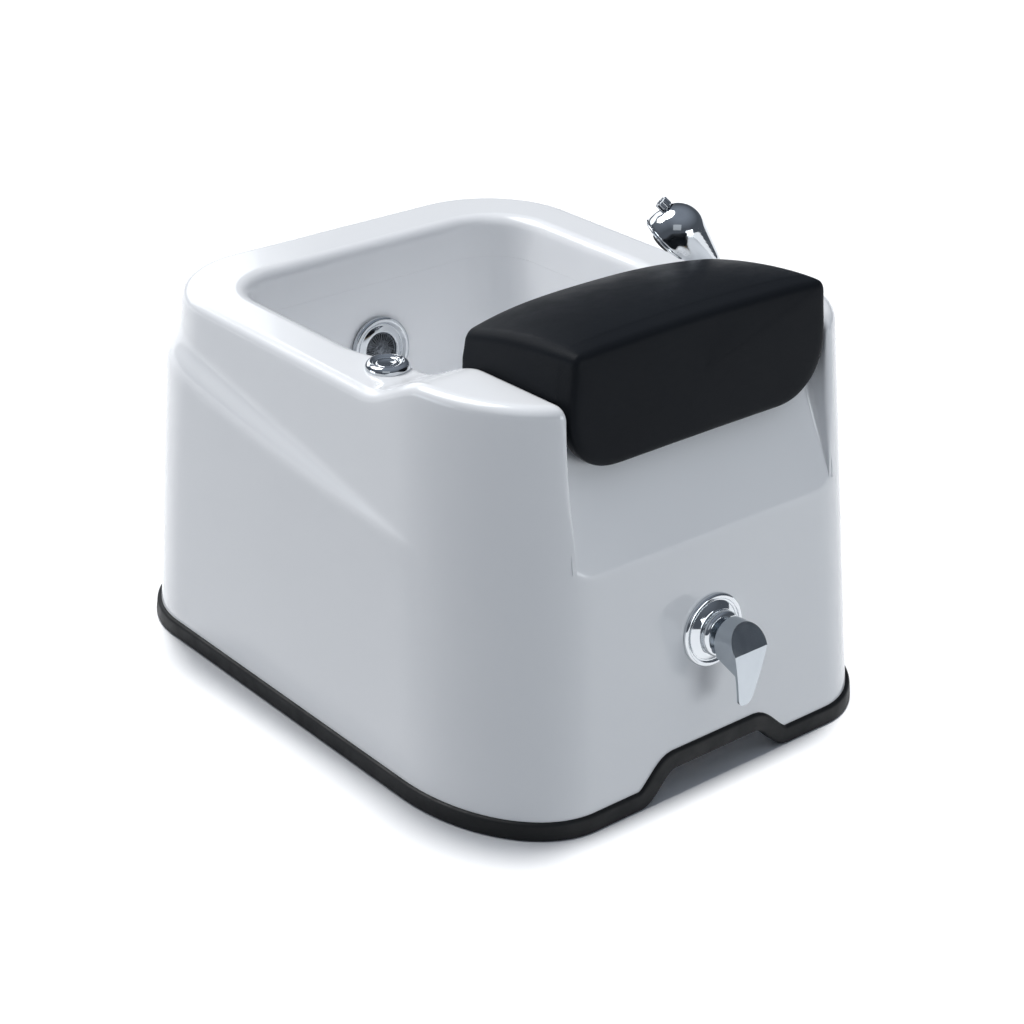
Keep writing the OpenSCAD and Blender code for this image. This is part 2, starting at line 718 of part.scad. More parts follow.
module jet_locknut() {
    color("gainsboro") on_basin_wall() washer(jet_thread_r + 9, jet_thread_r + fit, jet_back - 9, jet_back);
}
module jet_impeller() {
    back = motor_top + 2 * housing_t;
    color("lightgray") on_basin_wall() {
        translate([0, 0, back]) cylinder(r = 16, h = 3, $fn = 48);
        translate([0, 0, motor_top - 6]) cylinder(r = spindle_r, h = 24, $fn = 32);
        for (a = [0:60:300])
            rotate([0, 0, a]) translate([3, -1, back]) cube([12, 2, 12]);
    }
}
boss_l = 5;
boss_back = motor_l / 2 - motor_top;
module jet_motor() {
    color("dimgray") on_basin_wall() difference() {
        union() {
            translate([0, 0, motor_top - motor_l]) cylinder(r = motor_r, h = motor_l, $fn = 64);
            translate([0, 0, motor_top - motor_l - 4]) cylinder(r = motor_r - 6, h = 4, $fn = 64);
            // boss of the lead
            translate([0, 0, -boss_back]) rotate([0, -90, 0])
                cylinder(r = 6, h = motor_r + boss_l, $fn = 32);
        }
        translate([0, 0, motor_top - 12]) cylinder(r = spindle_r + fit, h = 13, $fn = 32);
    }
}

// ================================================================= air button
module air_button_bezel() {
    inner = cap_r + fit;
    color("silver") on_button() difference() {
        rotate_extrude($fn = 96)
            polygon([[inner, -shank_l], [shank_r, -shank_l], [shank_r, 0], [bezel_r, 0], [bezel_r, 3],
                     [bezel_r - 1.5, bezel_h - 2.5], [bezel_r - 5, bezel_h - 0.5], [bezel_r - 7, bezel_h],
                     [bezel_r - 8, bezel_h - 1], [inner + 1.5, bezel_h - 1.2], [inner, bezel_h - 2]]);
        translate([0, 0, -shank_l - 1]) cylinder(r = inner, h = 10, $fn = 64);
    }
}
module air_button_locknut() {
    color("gainsboro") on_button() hex_nut(button_nut, shank_r + fit, -wall - button_nut_h, -wall);
}
module air_button_cap() {
    color("silver") on_button() {
        translate([0, 0, -cap_under]) cylinder(r = cap_r, h = bezel_h + cap_under - 2.5, $fn = 64);
        translate([0, 0, bezel_h - 2.5]) cylinder(r1 = cap_r, r2 = cap_r - 1.5, h = 1, $fn = 64);
    }
}
module air_bellows() {
    color("dimgray") on_button() {
        translate([0, 0, -shank_l + 2])
            cylinder(r = cap_r - 1.5, h = shank_l - 2 - cap_under - cap_travel - seat, $fn = 48);
        translate([0, 0, -shank_l - 10]) cylinder(r = 3, h = 14, $fn = 32);
        translate([0, 0, -shank_l - 3]) cylinder(r = shank_r - 1, h = 3, $fn = 48);
    }
}

// ======================================================== control box and leads
box_l = 110;
box_d = 46;
box_h = 84;
box_drop = 6;
box_z = frame_top - box_drop - box_h;
box_y = frame_y + 40;
box_x = leg_xs[0] - tube / 2 - hanger_t - box_d;
lead_r = 3;
air_x = box_x + 8;
gland_x = box_x + box_d / 2;
gland_z = box_z + 24;
module control_box() {
    color("lightgray") difference() {
        translate([box_x, box_y - box_l / 2, box_z]) cube([box_d, box_l, box_h]);
        translate([box_x - 1, box_y - box_l / 2 + 3, box_z + 3]) cube([box_d - 2, box_l - 6, box_h - 6]);
        translate([gland_x, box_y + box_l / 2 - 5, gland_z]) rotate([-90, 0, 0])
            cylinder(r = 8, h = 10, $fn = 32);
        translate([air_x, box_y, box_z + box_h - 5]) cylinder(r = lead_r + seat, h = 10, $fn = 32);
    }
}
module control_lid() {
    color("gray") translate([box_x - 3, box_y - box_l / 2, box_z]) cube([3, box_l, box_h]);
}
module cable_gland() {
    y0 = box_y + box_l / 2;
    color("black") translate([gland_x, y0, gland_z]) rotate([-90, 0, 0]) difference() {
        union() {
            translate([0, 0, -6]) cylinder(r = 8 - fit, h = 6, $fn = 32);
            cylinder(r = 11, h = 6, $fn = 6);
            translate([0, 0, 6]) cylinder(r1 = 9, r2 = 7, h = 12, $fn = 32);
        }
        translate([0, 0, -7]) cylinder(r = lead_r + seat, h = 30, $fn = 32);
    }
}

// the air tube drops from the bellows to the control box, between basin and shell
nipple_z = rim_z - shank_l - 10;
box_top = box_z + box_h;
air_route = lead_route([[-button_x, button_y, nipple_z], [-button_x, button_y, nipple_z - 14],
                      [-208, -30, 300], [-204, 20, 240], [-190, 70, 180], [-170, box_y - 3, 154],
                      [air_x, box_y, box_top + 7], [air_x, box_y, box_top - 8]], 5);
module air_tube() {
    color("lightblue") tube_along(air_route, lead_r, 8, [0, 1, 0]);
}
// the motor's lead goes round the basin's back corner to the gland
lead_start = [-motor_r - boss_l, basin_wall_y + boss_back * cos(basin_tilt),
              jet_z - boss_back * sin(basin_tilt)];
gland_y = box_y + box_l / 2;
cable_route = lead_route([lead_start, lead_start - [14, 0, 0], [-110, 290, 262], [-165, 262, 215],
                          [-185, 235, 150], [-170, 222, 100],
                          [gland_x - 4, gland_y + 50, gland_z + 3],
                          [gland_x, gland_y + 26, gland_z], [gland_x, gland_y - 8, gland_z]], 5);
module motor_cable() {
    color("black") tube_along(cable_route, lead_r, 8, [0, 0, 1]);
}

// ====================================================================== mixer
module mixer_plate() {
    inner = sleeve_r + 1;
    color("silver") on_front() rotate_extrude($fn = 96)
        polygon([[plate_r - 2.5, 0], [plate_r, 0], [plate_r, 2.5], [plate_r - 2, 4.5], [plate_r - 7, 5.5],
                 [plate_r - 8, 5], [plate_r - 12, 9], [inner, 9], [inner, 7], [plate_r - 13, 7],
                 [plate_r - 9, 3]]);
}
body_front = -wall - 3;
body_l = 52;
cartridge_r = 14;
cartridge_back = -30;
// depth and length of the hot and cold tails and of the outlet
branch_d = body_front - body_l + 20;
branch_r = 9;
elbow_up = 12;
elbow_low = 10;
tail_l = 40;
outlet_up = 36;
module mixer_body() {
    color("darkgoldenrod") on_front() difference() {
        union() {
            translate([0, 0, body_front - body_l]) cylinder(r = 24, h = body_l, $fn = 64);
            translate([0, 0, body_front - 1]) cylinder(r = sleeve_r, h = 12 - body_front, $fn = 64);
            translate([-tail_pitch, 0, branch_d]) rotate([0, 90, 0])
                cylinder(r = branch_r, h = 2 * tail_pitch, $fn = 48);
            for (s = [-1, 1])
                translate([s * tail_pitch, 0, branch_d]) rotate([90, 0, 0]) {
                    translate([0, 0, -elbow_up]) cylinder(r = tail_r + 3, h = elbow_up + elbow_low, $fn = 48);
                    cylinder(r = tail_r, h = tail_l, $fn = 48);
                }
            translate([0, 0, branch_d]) rotate([-90, 0, 0]) cylinder(r = branch_r, h = outlet_up, $fn = 48);
        }
        translate([0, 0, cartridge_back]) cylinder(r = cartridge_r + fit, h = 60, $fn = 64);
        for (s = [-1, 1])
            translate([s * tail_pitch, -tail_l - 1, branch_d]) rotate([-90, 0, 0])
                cylinder(r = tail_r - 2.5, h = tail_l - 4, $fn = 48);
    }
}
module mixer_gasket() {
    color("dimgray") on_front() washer(26, sleeve_r + fit, body_front, -wall);
}
module mixer_locknut() {
    color("gainsboro") on_front() washer(25, sleeve_r + fit, 0, 6.5);
}
module mixer_bonnet() {
    color("silver") on_front() rotate_extrude($fn = 96)
        polygon([[sleeve_r + fit, 9.2], [bonnet_r, 9.2], [bonnet_r, 16], [bonnet_r - 1.5, 18.5],
                 [bonnet_r - 5, 20.3], [12, 22.6], [7, 24], [7, 21], [sleeve_r + fit, 17]]);
}
stem_r = 4;
stem_flat = 7;
module mixer_cartridge() {
    color("white") on_front() difference() {
        union() {
            translate([0, 0, cartridge_back]) cylinder(r = cartridge_r, h = 16 - cartridge_back, $fn = 48);
            translate([0, 0, 16]) cylinder(r1 = cartridge_r, r2 = 6.5, h = 4, $fn = 48);
        }
        translate([0, 0, 6]) cylinder(r = stem_r + fit, h = 30, $fn = 32);
    }
}
pivot_r = 1.5;
pivot_up = 4;
pivot_half = 13.8;
module mixer_stem() {
    color("gray") on_front() difference() {
        union() {
            translate([0, 0, 7]) cylinder(r = stem_r, h = 17, $fn = 32);
            translate([-stem_flat / 2, -3, 24]) cube([stem_flat, 6, hub_back + pivot_up + 3.5 - 24]);
        }
        translate([-6, 0, hub_back + pivot_up]) rotate([0, 90, 0])
            cylinder(r = pivot_r + fit, h = 12, $fn = 32);
    }
}
// leaf outline of the lever, seen from the front
function leaf() =
    let (d = lever_drop - lever_tip_r, lean = asin((hub_r - lever_tip_r) / d))
    concat([for (a = [-lean:(180 + 2 * lean) / 24:180 + lean + 0.01]) hub_r * [cos(a), sin(a)]],
           [for (a = [180 + lean:(180 - 2 * lean) / 8:360 - lean + 0.01])
               [lever_tip_r * cos(a), lever_tip_r * sin(a) - d]]);
module mixer_lever() {
    tip_z = lever_reach - 10;
    blade_t = 4;
    color("silver") on_front() difference() {
        intersection() {
            translate([0, 0, hub_back]) linear_extrude(60) polygon(leaf());
            translate([-hub_r - 1, 0, 0]) rotate([90, 0, 90]) linear_extrude(2 * hub_r + 2)
                polygon([[hub_r + 1, hub_back], [hub_r + 1, lever_reach - 14],
                         [-brow_drop, lever_reach], [-lever_drop * 0.45, lever_reach - 3.5],
                         [-lever_drop - 1, tip_z], [-lever_drop - 1, tip_z - blade_t + 1],
                         [-lever_drop * 0.6, lever_reach - 5 - blade_t * 1.6],
                         [-hub_r - 2, lever_reach - 18], [-hub_r + 6, hub_back]]);
        }
        translate([0, 0, hub_back - 1]) cylinder(r = 10, h = 14, $fn = 48);
        translate([-pivot_half - 0.2, 0, hub_back + pivot_up]) rotate([0, 90, 0])
            cylinder(r = pivot_r + fit, h = 2 * pivot_half + 0.4, $fn = 32);
    }
}
module mixer_pivot_pin() {
    color("gray") on_front() translate([-pivot_half, 0, hub_back + pivot_up]) rotate([0, 90, 0])
        cylinder(r = pivot_r, h = 2 * pivot_half, $fn = 32);
}

// ================================================================ hand shower
module shower_collar() {
    color("silver") on_shower() difference() {
        union() {
            rotate_extrude($fn = 96)
                polygon([[collar_bore, 0], [collar_r, 0], [collar_r, 2.5], [collar_r - 2, 5],
                         [collar_bore + 3, 6.5], [collar_bore, 6]]);
            translate([0, 0, -28]) cylinder(r = collar_bore + 3, h = 29, $fn = 64);
        }
        translate([0, 0, -29]) cylinder(r = collar_bore, h = 31, $fn = 64);
    }
}
module shower_collar_nut() {
    color("gainsboro") on_shower()
        hex_nut(2 * collar_r - 6, collar_bore + 3 + fit, -collar_seat - 8, -collar_seat);
}
riser_l = 170;
riser_z = shower_z - riser_l;
// end of the mixer's outlet, behind the wall
tail_out = [0, tub_front(mixer_z) - branch_d * cos(front_tilt) + outlet_up * sin(front_tilt),
            mixer_z + branch_d * sin(front_tilt) + outlet_up * cos(front_tilt)];
hose_route = lead_route([tail_out, tail_out + 14 * [0, sin(front_tilt), cos(front_tilt)],
                         [26, -280, 244], [80, -262, 238], [150, -238, 190], [212, -200, 130],
                         [226, -140, 104], [shower_x + 4, shower_y - 8, 150],
                         [shower_x, shower_y, riser_z - 60], [shower_x, shower_y, riser_z - seat]], 4);
module shower_hose_loop() {
    color("silver") tube_along(hose_route, hose_r, 8, [1, 1, 0.3]);
}
plug_l = 22;
module shower_hose_riser() {
    color("silver") on_shower() translate([0, 0, -riser_l])
        cylinder(r = hose_r, h = riser_l - plug_l - seat, $fn = 32);
}
face_tilt = 45;
module at_face() {
    on_shower() rotate([0, 0, face_turn]) translate([face_out, 0, face_up])
        rotate([0, 90 + face_tilt, 0]) children();
}
// the head is a ball behind the spray face
head_r = face_r + 1;
head_out = face_out - 15;
head_up = face_up + 12;
button_r = 7.5;
button_back_off = 28;
button_in = face_r - 3.5;
button_push = 3;
module shower_body() {
    color("silver") difference() {
        union() {
            on_shower() translate([0, 0, -plug_l])
                cylinder(r = collar_bore - seat, h = plug_l + 8, $fn = 64);
            on_shower() translate([0, 0, 6.8])
                cylinder(r1 = collar_bore + 1, r2 = handle_r, h = 23, $fn = 64);
            on_shower() rotate([0, 0, face_turn]) hull() {
                translate([0, 0, 24]) cylinder(r = handle_r - 1, h = 1, $fn = 32);
                translate([head_out, 0, head_up]) sphere(r = head_r, $fn = 32);
            }
            at_face() translate([0, 0, -15]) cylinder(r = face_r, h = 13, $fn = 64);
        }
        at_face() translate([0, 0, -3]) cylinder(r = 2 * face_r, h = 2 * face_r, $fn = 64);
        at_face() translate([0, 0, -8]) cylinder(r = face_r - 4, h = 20, $fn = 64);
        at_face() translate([-button_in + button_push + seat, 0, -button_back_off]) rotate([0, -90, 0])
            cylinder(r = button_r + seat, h = face_r, $fn = 32);
    }
}
module shower_face_ring() {
    color("silver") at_face() difference() {
        translate([0, 0, -2.7]) cylinder(r1 = face_r, r2 = face_r - 1.5, h = 2.7, $fn = 64);
        translate([0, 0, -4]) cylinder(r = face_r - 6, h = 6, $fn = 64);
    }
}
module shower_nozzle() {
    color("gray") at_face() difference() {
        union() {
            translate([0, 0, -7.7]) cylinder(r = face_r - 4.5, h = 4.7, $fn = 64);
            translate([0, 0, -3]) cylinder(r = face_r - 6.5, h = 3, $fn = 64);
            translate([0, 0, 0]) cylinder(r1 = 12, r2 = 10, h = 6, $fn = 48);
        }
        translate([0, 0, -1]) cylinder(r = 1, h = 8, $fn = 16);
        for (ring = [1:2]) for (i = [0:6 * ring - 1])
            rotate([0, 0, 360 * i / (6 * ring)]) translate([ring * 3.8, 0, 2])
                cylinder(r = 0.8, h = 6, $fn = 16);
    }
}
// knurled button, pressed in towards the head's middle
module shower_button() {
    long = 10;
    knurls = 12;
    color("silver") at_face()
        translate([-button_in, 0, -button_back_off]) rotate([0, -90, 0]) difference() {
            cylinder(r = button_r, h = long, $fn = 48);
            for (i = [0:knurls - 1])
                rotate([0, 0, 360 * i / knurls]) translate([button_r - 0.8, -0.6, 3]) cube([2, 1.2, long]);
        }
}

// ============================================================== footrest pad
pad_front_y = front_y + pad_set_back;
pad_hw = channel_hw - pad_gap;
board_z = ledge_z + seat;
pad_under_z = board_z + board_t + seat;
pin_y = ledge_y + 70;
pad_crown = 4;
pad_round = 9;
nose_share = pad_nose / (pad_end_d + pad_bow);

// half section of the pad, a share s of the way back, shrunk by g, from top middle to bottom middle
function pad_half(s, g) =
    let (top = mix(pad_z, pad_back_z, s * s) - g,
         under = (s > nose_share ? pad_under_z : pad_nose_z) + g,
         hw = pad_hw - g, rt = 11, rb = mix(42, 18, smooth(s * 6)),
         hip = min(top - rt - 6, cheek_z - 6), tx = hw - pad_lean - rt)
    concat(
        [for (i = [0:5]) let (x = tx * i / 6) [x, top + pad_crown * (1 - pow(x / tx, 2))]],
        [for (i = [0:4]) let (a = 90 - 18 * i) [tx + rt * cos(a), top - rt + rt * sin(a)]],
        [[hw, hip]],
        [for (i = [0:5]) let (a = 18 * i) [hw - rb + rb * cos(a), under + rb - rb * sin(a)]],
        [for (i = [0:3]) [(hw - rb) * (3 - i) / 4, under]]);
function pad_y(s, x) = pad_front_y + (pad_end_d + pad_bow * (1 - pow(x / pad_hw, 2))) * s;
function pad_ring(s, g) =
    let (h = pad_half(s, g), n = len(h))
    concat([for (p = h) [p.x, pad_y(s, p.x), p.y]],
           [for (i = [n - 2:-1:1]) [-h[i].x, pad_y(s, h[i].x), h[i].y]]);
module footrest_pad() {
    stations = [[0, pad_round], [0.012, 3], [0.05, 0], [nose_share, 0], [nose_share + 0.03, 0], [0.35, 0],
                [0.6, 0],
                [0.88, 0], [0.955, 1.5], [0.985, 4.5], [1, pad_round]];
    rings = [for (st = stations) pad_ring(st[0], st[1])];
    m = len(rings[0]);
    n = len(rings);
    color([0.13, 0.13, 0.15])
        polyhedron([for (r = rings) each r],
            concat([[for (i = [0:m - 1]) i]],
                [for (j = [0:n - 2]) for (i = [0:m - 1])
                    let (a = j * m + i, b = j * m + (i + 1) % m)
                    each [[a, b + m, b], [a, a + m, b + m]]],
                [[for (i = [m - 1:-1:0]) (n - 1) * m + i]]));
}
module footrest_board() {
    inset = 8;
    y0 = ledge_y + 4;
    y1 = pad_front_y + pad_end_d - 14;
    color("burlywood") difference() {
        translate([-channel_hw + inset, y0, board_z]) cube([channel_w - 2 * inset, y1 - y0, board_t]);
        for (s = [-1, 1])
            translate([s * pin_pitch / 2, pin_y, board_z - 1])
                cylinder(r = pin_r + fit, h = board_t + 2, $fn = 32);
    }
}
module footrest_pins() {
    color("silver")
        for (s = [-1, 1])
            translate([s * pin_pitch / 2, pin_y, board_z - pin_len]) {
                translate([0, 0, 2]) cylinder(r = pin_r, h = pin_len + board_t - 2, $fn = 48);
                cylinder(r1 = pin_r - 2, r2 = pin_r, h = 2, $fn = 48);
            }
}
module pin_bushes() {
    color("white")
        for (s = [-1, 1])
            translate([s * pin_pitch / 2, pin_y, ledge_z]) difference() {
                union() {
                    translate([0, 0, -24]) cylinder(r = bush_r, h = 24, $fn = 48);
                    translate([0, 0, -wall - 3]) cylinder(r = bush_r + 4, h = 3, $fn = 48);
                }
                translate([0, 0, -25]) cylinder(r = pin_r + fit, h = 26, $fn = 48);
            }
}
module board_screws() {
    color("silver")
        for (x = [34 - channel_hw, channel_hw - 34]) for (y = [ledge_y + 30, pad_front_y + pad_end_d - 40])
            translate([x, y, board_z]) {
                cylinder(r = 4, h = 1.5, $fn = 32);
                cylinder(r = 2, h = board_t + 12, $fn = 32);
            }
}

tub_shell();
foot_basin();
base_trim();
support_frame();
frame_feet();
basin_pads();
waste_flange();
waste_gasket();
waste_locknut();
waste_tailpipe();
waste_plug();
jet_ring();
jet_strainer();
jet_gasket();
jet_housing();
jet_locknut();
jet_impeller();
jet_motor();
air_button_bezel();
air_button_locknut();
air_button_cap();
air_bellows();
air_tube();
control_box();
control_lid();
cable_gland();
motor_cable();
mixer_plate();
mixer_body();
mixer_gasket();
mixer_locknut();
mixer_bonnet();
mixer_cartridge();
mixer_stem();
mixer_lever();
mixer_pivot_pin();
shower_collar();
shower_collar_nut();
shower_hose_loop();
shower_hose_riser();
shower_body();
shower_face_ring();
shower_nozzle();
shower_button();
footrest_pad();
footrest_board();
footrest_pins();
pin_bushes();
board_screws();
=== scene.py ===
import math
import bpy
from mathutils import Matrix, Vector


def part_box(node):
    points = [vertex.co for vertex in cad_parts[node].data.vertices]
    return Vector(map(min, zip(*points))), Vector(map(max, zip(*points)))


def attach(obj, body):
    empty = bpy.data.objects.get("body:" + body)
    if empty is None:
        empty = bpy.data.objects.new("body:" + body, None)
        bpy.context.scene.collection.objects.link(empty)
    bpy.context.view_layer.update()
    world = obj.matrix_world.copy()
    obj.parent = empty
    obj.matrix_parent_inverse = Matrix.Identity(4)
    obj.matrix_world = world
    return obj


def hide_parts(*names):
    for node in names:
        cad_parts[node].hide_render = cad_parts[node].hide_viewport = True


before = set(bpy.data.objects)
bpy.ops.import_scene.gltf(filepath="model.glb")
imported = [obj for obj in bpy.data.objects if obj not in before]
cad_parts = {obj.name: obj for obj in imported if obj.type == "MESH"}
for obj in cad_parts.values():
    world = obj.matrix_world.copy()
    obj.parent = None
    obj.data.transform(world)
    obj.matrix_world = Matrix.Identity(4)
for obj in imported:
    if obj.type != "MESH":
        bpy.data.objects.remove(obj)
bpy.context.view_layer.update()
mm = 0.001
print("frame loaded:", len(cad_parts), "nodes")


# ---- small helpers
def mix(a, b, share):
    return a + (b - a) * share


def smooth(value):
    u = min(1.0, max(0.0, value))
    return u * u * (3 - 2 * u)


def softMax(a, b, reach):
    # the larger of two heights, with the corner between them rounded over
    overlap = max(0.0, reach - abs(a - b)) / reach
    return max(a, b) + overlap * overlap * reach / 4


def pick(*pieces):
    bpy.ops.object.select_all(action="DESELECT")
    for piece in pieces:
        piece.select_set(True)
    bpy.context.view_layer.objects.active = pieces[0]


def meshPiece(name, points, faces, edges=()):
    mesh = bpy.data.meshes.new(name)
    mesh.from_pydata([[c * mm for c in p] for p in points], edges, faces)
    piece = bpy.data.objects.new(name, mesh)
    bpy.context.scene.collection.objects.link(piece)
    return piece


def editAll(piece):
    pick(piece)
    bpy.ops.object.mode_set(mode="EDIT")
    bpy.ops.mesh.select_all(action="SELECT")


def closeSeams(piece, gap=0.05):
    editAll(piece)
    bpy.ops.mesh.remove_doubles(threshold=gap * mm)
    bpy.ops.mesh.delete_loose()
    bpy.ops.mesh.select_all(action="SELECT")
    bpy.ops.mesh.normals_make_consistent(inside=False)
    bpy.ops.object.mode_set(mode="OBJECT")


def applyAll(piece):
    pick(piece)
    for modifier in list(piece.modifiers):
        bpy.ops.object.modifier_apply(modifier=modifier.name)


def roundEdges(piece, width, segments=3, angle=30):
    bevel = piece.modifiers.new("edges", "BEVEL")
    bevel.width = width * mm
    bevel.segments = segments
    bevel.limit_method = "ANGLE"
    bevel.angle_limit = math.radians(angle)
    bevel.harden_normals = False
    applyAll(piece)


def softShade(piece, angle=35):
    pick(piece)
    bpy.ops.object.shade_smooth_by_angle(angle=math.radians(angle))


def carve(piece, tool, operation="DIFFERENCE"):
    cut = piece.modifiers.new("cut", "BOOLEAN")
    cut.operation = operation
    cut.solver = "EXACT"
    cut.object = tool
    applyAll(piece)
    bpy.data.objects.remove(tool)


def rod(radius, low, high, place, sides=64):
    # a round cutting tool or peg along its place's own Z
    bpy.ops.object.select_all(action="DESELECT")
    bpy.ops.mesh.primitive_cylinder_add(
        vertices=sides, radius=radius * mm, depth=(high - low) * mm, location=(0, 0, 0))
    tool = bpy.context.object
    tool.data.transform(place @ Matrix.Translation((0, 0, (low + high) / 2 * mm)))
    return tool


def joinTo(piece, others):
    pick(piece, *others)
    bpy.ops.object.join()


def copiesOf(master, places):
    # a copy with its own mesh at each place, and then the master goes
    copies = []
    for place in places:
        copy = master.copy()
        copy.data = master.data.copy()
        bpy.context.scene.collection.objects.link(copy)
        copy.data.transform(place)
        copies.append(copy)
    bpy.data.objects.remove(master)
    return copies


def arc(x, y, wide, tall, start, end, steps):
    # points round (x, y), from one angle to another in degrees
    angles = [math.radians(mix(start, end, i / steps)) for i in range(steps + 1)]
    return [(x + wide * math.cos(a), y + tall * math.sin(a)) for a in angles]


def ringFaces(count, rings):
    # faces between rings of points, and one over each end
    faces = [tuple(range(count)), tuple(range((rings - 1) * count, rings * count))]
    for j in range(0, (rings - 1) * count, count):
        for i in range(count):
            k = (i + 1) % count
            faces.append((j + i, j + k, j + count + k, j + count + i))
    return faces


def turnedPiece(name, outline, place, edge=0.4, steps=96, angle=35):
    # an outline of (radius, height) spun round its place's Z
    count = len(outline)
    closed = not (outline[0][0] == 0 and outline[-1][0] == 0)
    edges = [(i, (i + 1) % count) for i in range(count if closed else count - 1)]
    piece = meshPiece(name, [(r, 0, z) for r, z in outline], [], edges)
    editAll(piece)
    bpy.ops.mesh.spin(steps=steps, angle=2 * math.pi, center=(0, 0, 0), axis=(0, 0, 1))
    bpy.ops.object.mode_set(mode="OBJECT")
    closeSeams(piece, 0.01)
    if edge:
        roundEdges(piece, edge)
    piece.data.transform(place)
    softShade(piece, angle)
    return piece


def spot(x, y, z, turnX=0.0, turnZ=0.0):
    return (Matrix.Translation(Vector((x, y, z)) * mm) @ Matrix.Rotation(math.radians(turnZ), 4, "Z")
            @ Matrix.Rotation(math.radians(turnX), 4, "X"))


def handOver(piece, finish, body, slot, *nodes):
    # the piece's last step: its finish, the body it rides on and the CAD nodes it stands for
    piece.data.materials.clear()
    piece.data.materials.append(finish)
    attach(piece, body)
    if nodes:
        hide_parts(*nodes)
    print("made", piece.name, len(piece.data.polygons), "faces")


# ---- finishes
def hexColour(code):
    parts = [int(code[i:i + 2], 16) / 255 for i in (1, 3, 5)]
    linear = [c / 12.92 if c <= 0.04045 else ((c + 0.055) / 1.055) ** 2.4 for c in parts]
    return (*linear, 1.0)


def addNode(tree, kind, settings=None, links=None):
    node = tree.nodes.new(kind)
    for key, value in (settings or {}).items():
        if isinstance(key, int) or key in node.inputs:
            node.inputs[key].default_value = value
        else:
            setattr(node, key, value)
    for key, source in (links or {}).items():
        tree.links.new(source, node.inputs[key])
    return node


def perMetre(size):
    # a texture's scale for features of that size in millimetres
    return 1000 / size


def layeredFinish(name, look):
    # colour patches, a roughness that varies, and one grain as bump; sizes in millimetres
    made = bpy.data.materials.new(name)
    made.use_nodes = True
    tree = made.node_tree
    shader = tree.nodes["Principled BSDF"]
    for socket, value in look["shader"].items():
        shader.inputs[socket].default_value = value
    place = addNode(tree, "ShaderNodeTexCoord").outputs["Object"]
    if "stretch" in look:
        place = addNode(tree, "ShaderNodeMapping", {"Scale": look["stretch"]}, {"Vector": place}).outputs[0]
    at = {"Vector": place}
    patches = addNode(tree, "ShaderNodeTexNoise",
                      {"Scale": perMetre(look["patch"]), "Detail": 3.0, "Roughness": 0.6}, at)
    low, high = (hexColour(c) for c in look["colours"])
    tint = addNode(tree, "ShaderNodeMix", {"data_type": "RGBA", 6: low, 7: high}, {0: patches.outputs[0]})
    tree.links.new(tint.outputs[2], shader.inputs["Base Color"])
    wiped = addNode(tree, "ShaderNodeTexNoise",
                    {"Scale": perMetre(look["wipe"]), "Detail": 4.0, "Roughness": 0.6}, at)
    gloss = addNode(tree, "ShaderNodeMapRange",
                    {"From Min": 0.35, "From Max": 0.65, "To Min": look["roughness"][0],
                     "To Max": look["roughness"][1]}, {"Value": wiped.outputs[0]})
    tree.links.new(gloss.outputs[0], shader.inputs["Roughness"])
    if look.get("cells"):
        grain = addNode(tree, "ShaderNodeTexVoronoi",
                        {"feature": "SMOOTH_F1", "Scale": perMetre(look["grain"]), "Smoothness": 0.4}, at)
    else:
        grain = addNode(tree, "ShaderNodeTexNoise", {"Scale": perMetre(look["grain"]), "Detail": 2.0}, at)
    bump = addNode(tree, "ShaderNodeBump", {"Distance": look["depth"] * mm}, {"Height": grain.outputs[0]})
    tree.links.new(bump.outputs[0], shader.inputs["Normal"])
    return made


# white polyester gel coat from a polished mould: glossy, with a faint long ripple
gelCoat = layeredFinish("gelCoatGlossWhite", {
    "shader": {"IOR": 1.52, "Coat Weight": 0.35, "Coat Roughness": 0.06},
    "colours": ("#F3F4F6", "#F7F8F9"), "patch": 260, "roughness": (0.17, 0.24), "wipe": 90,
    "grain": 14, "depth": 0.02})
# extruded EPDM: matt, slightly dusty black
trimRubber = layeredFinish("epdmExtrudedBlack", {
    "shader": {"IOR": 1.5, "Specular IOR Level": 0.25},
    "colours": ("#0B0C0E", "#131517"), "patch": 60, "roughness": (0.45, 0.62), "wipe": 25,
    "grain": 1.2, "depth": 0.05})
# moulded nitrile rubber of gaskets, feet and bellows: matt, no shine
softRubber = layeredFinish("nitrileMouldedGrey", {
    "shader": {"IOR": 1.5, "Specular IOR Level": 0.3},
    "colours": ("#26282B", "#34373A"), "patch": 20, "roughness": (0.6, 0.75), "wipe": 12,
    "grain": 0.8, "depth": 0.04})
# integral-skin polyurethane with a fine leather grain, drawn at 1.6 mm so that it shows: satin black
coverSkin = layeredFinish("polyurethaneSkinSatinBlack", {
    "shader": {"IOR": 1.5, "Specular IOR Level": 0.05},
    "colours": ("#17191D", "#1D2024"), "patch": 120, "roughness": (0.36, 0.46), "wipe": 45,
    "grain": 1.6, "depth": 0.06, "cells": True})
# bright chromium plate over nickel: mirror with faint water marks
chromePlate = layeredFinish("chromePlateBright", {
    "shader": {"Metallic": 1.0},
    "colours": ("#C8CCD0", "#D4D7DA"), "patch": 18, "roughness": (0.035, 0.1), "wipe": 9,
    "grain": 6, "depth": 0.004})
# softer chromium of the lever, buffed by hand
softChrome = layeredFinish("chromePlateSoft", {
    "shader": {"Metallic": 1.0},
    "colours": ("#AEB4BA", "#BAC0C5"), "patch": 30, "roughness": (0.13, 0.19), "wipe": 14,
    "grain": 8, "depth": 0.003})
# satin chrome of the finned disc
satinChrome = layeredFinish("chromePlateSatin", {
    "shader": {"Metallic": 1.0},
    "colours": ("#5C6065", "#74787D"), "patch": 6, "roughness": (0.22, 0.34), "wipe": 4,
    "grain": 0.8, "depth": 0.02})
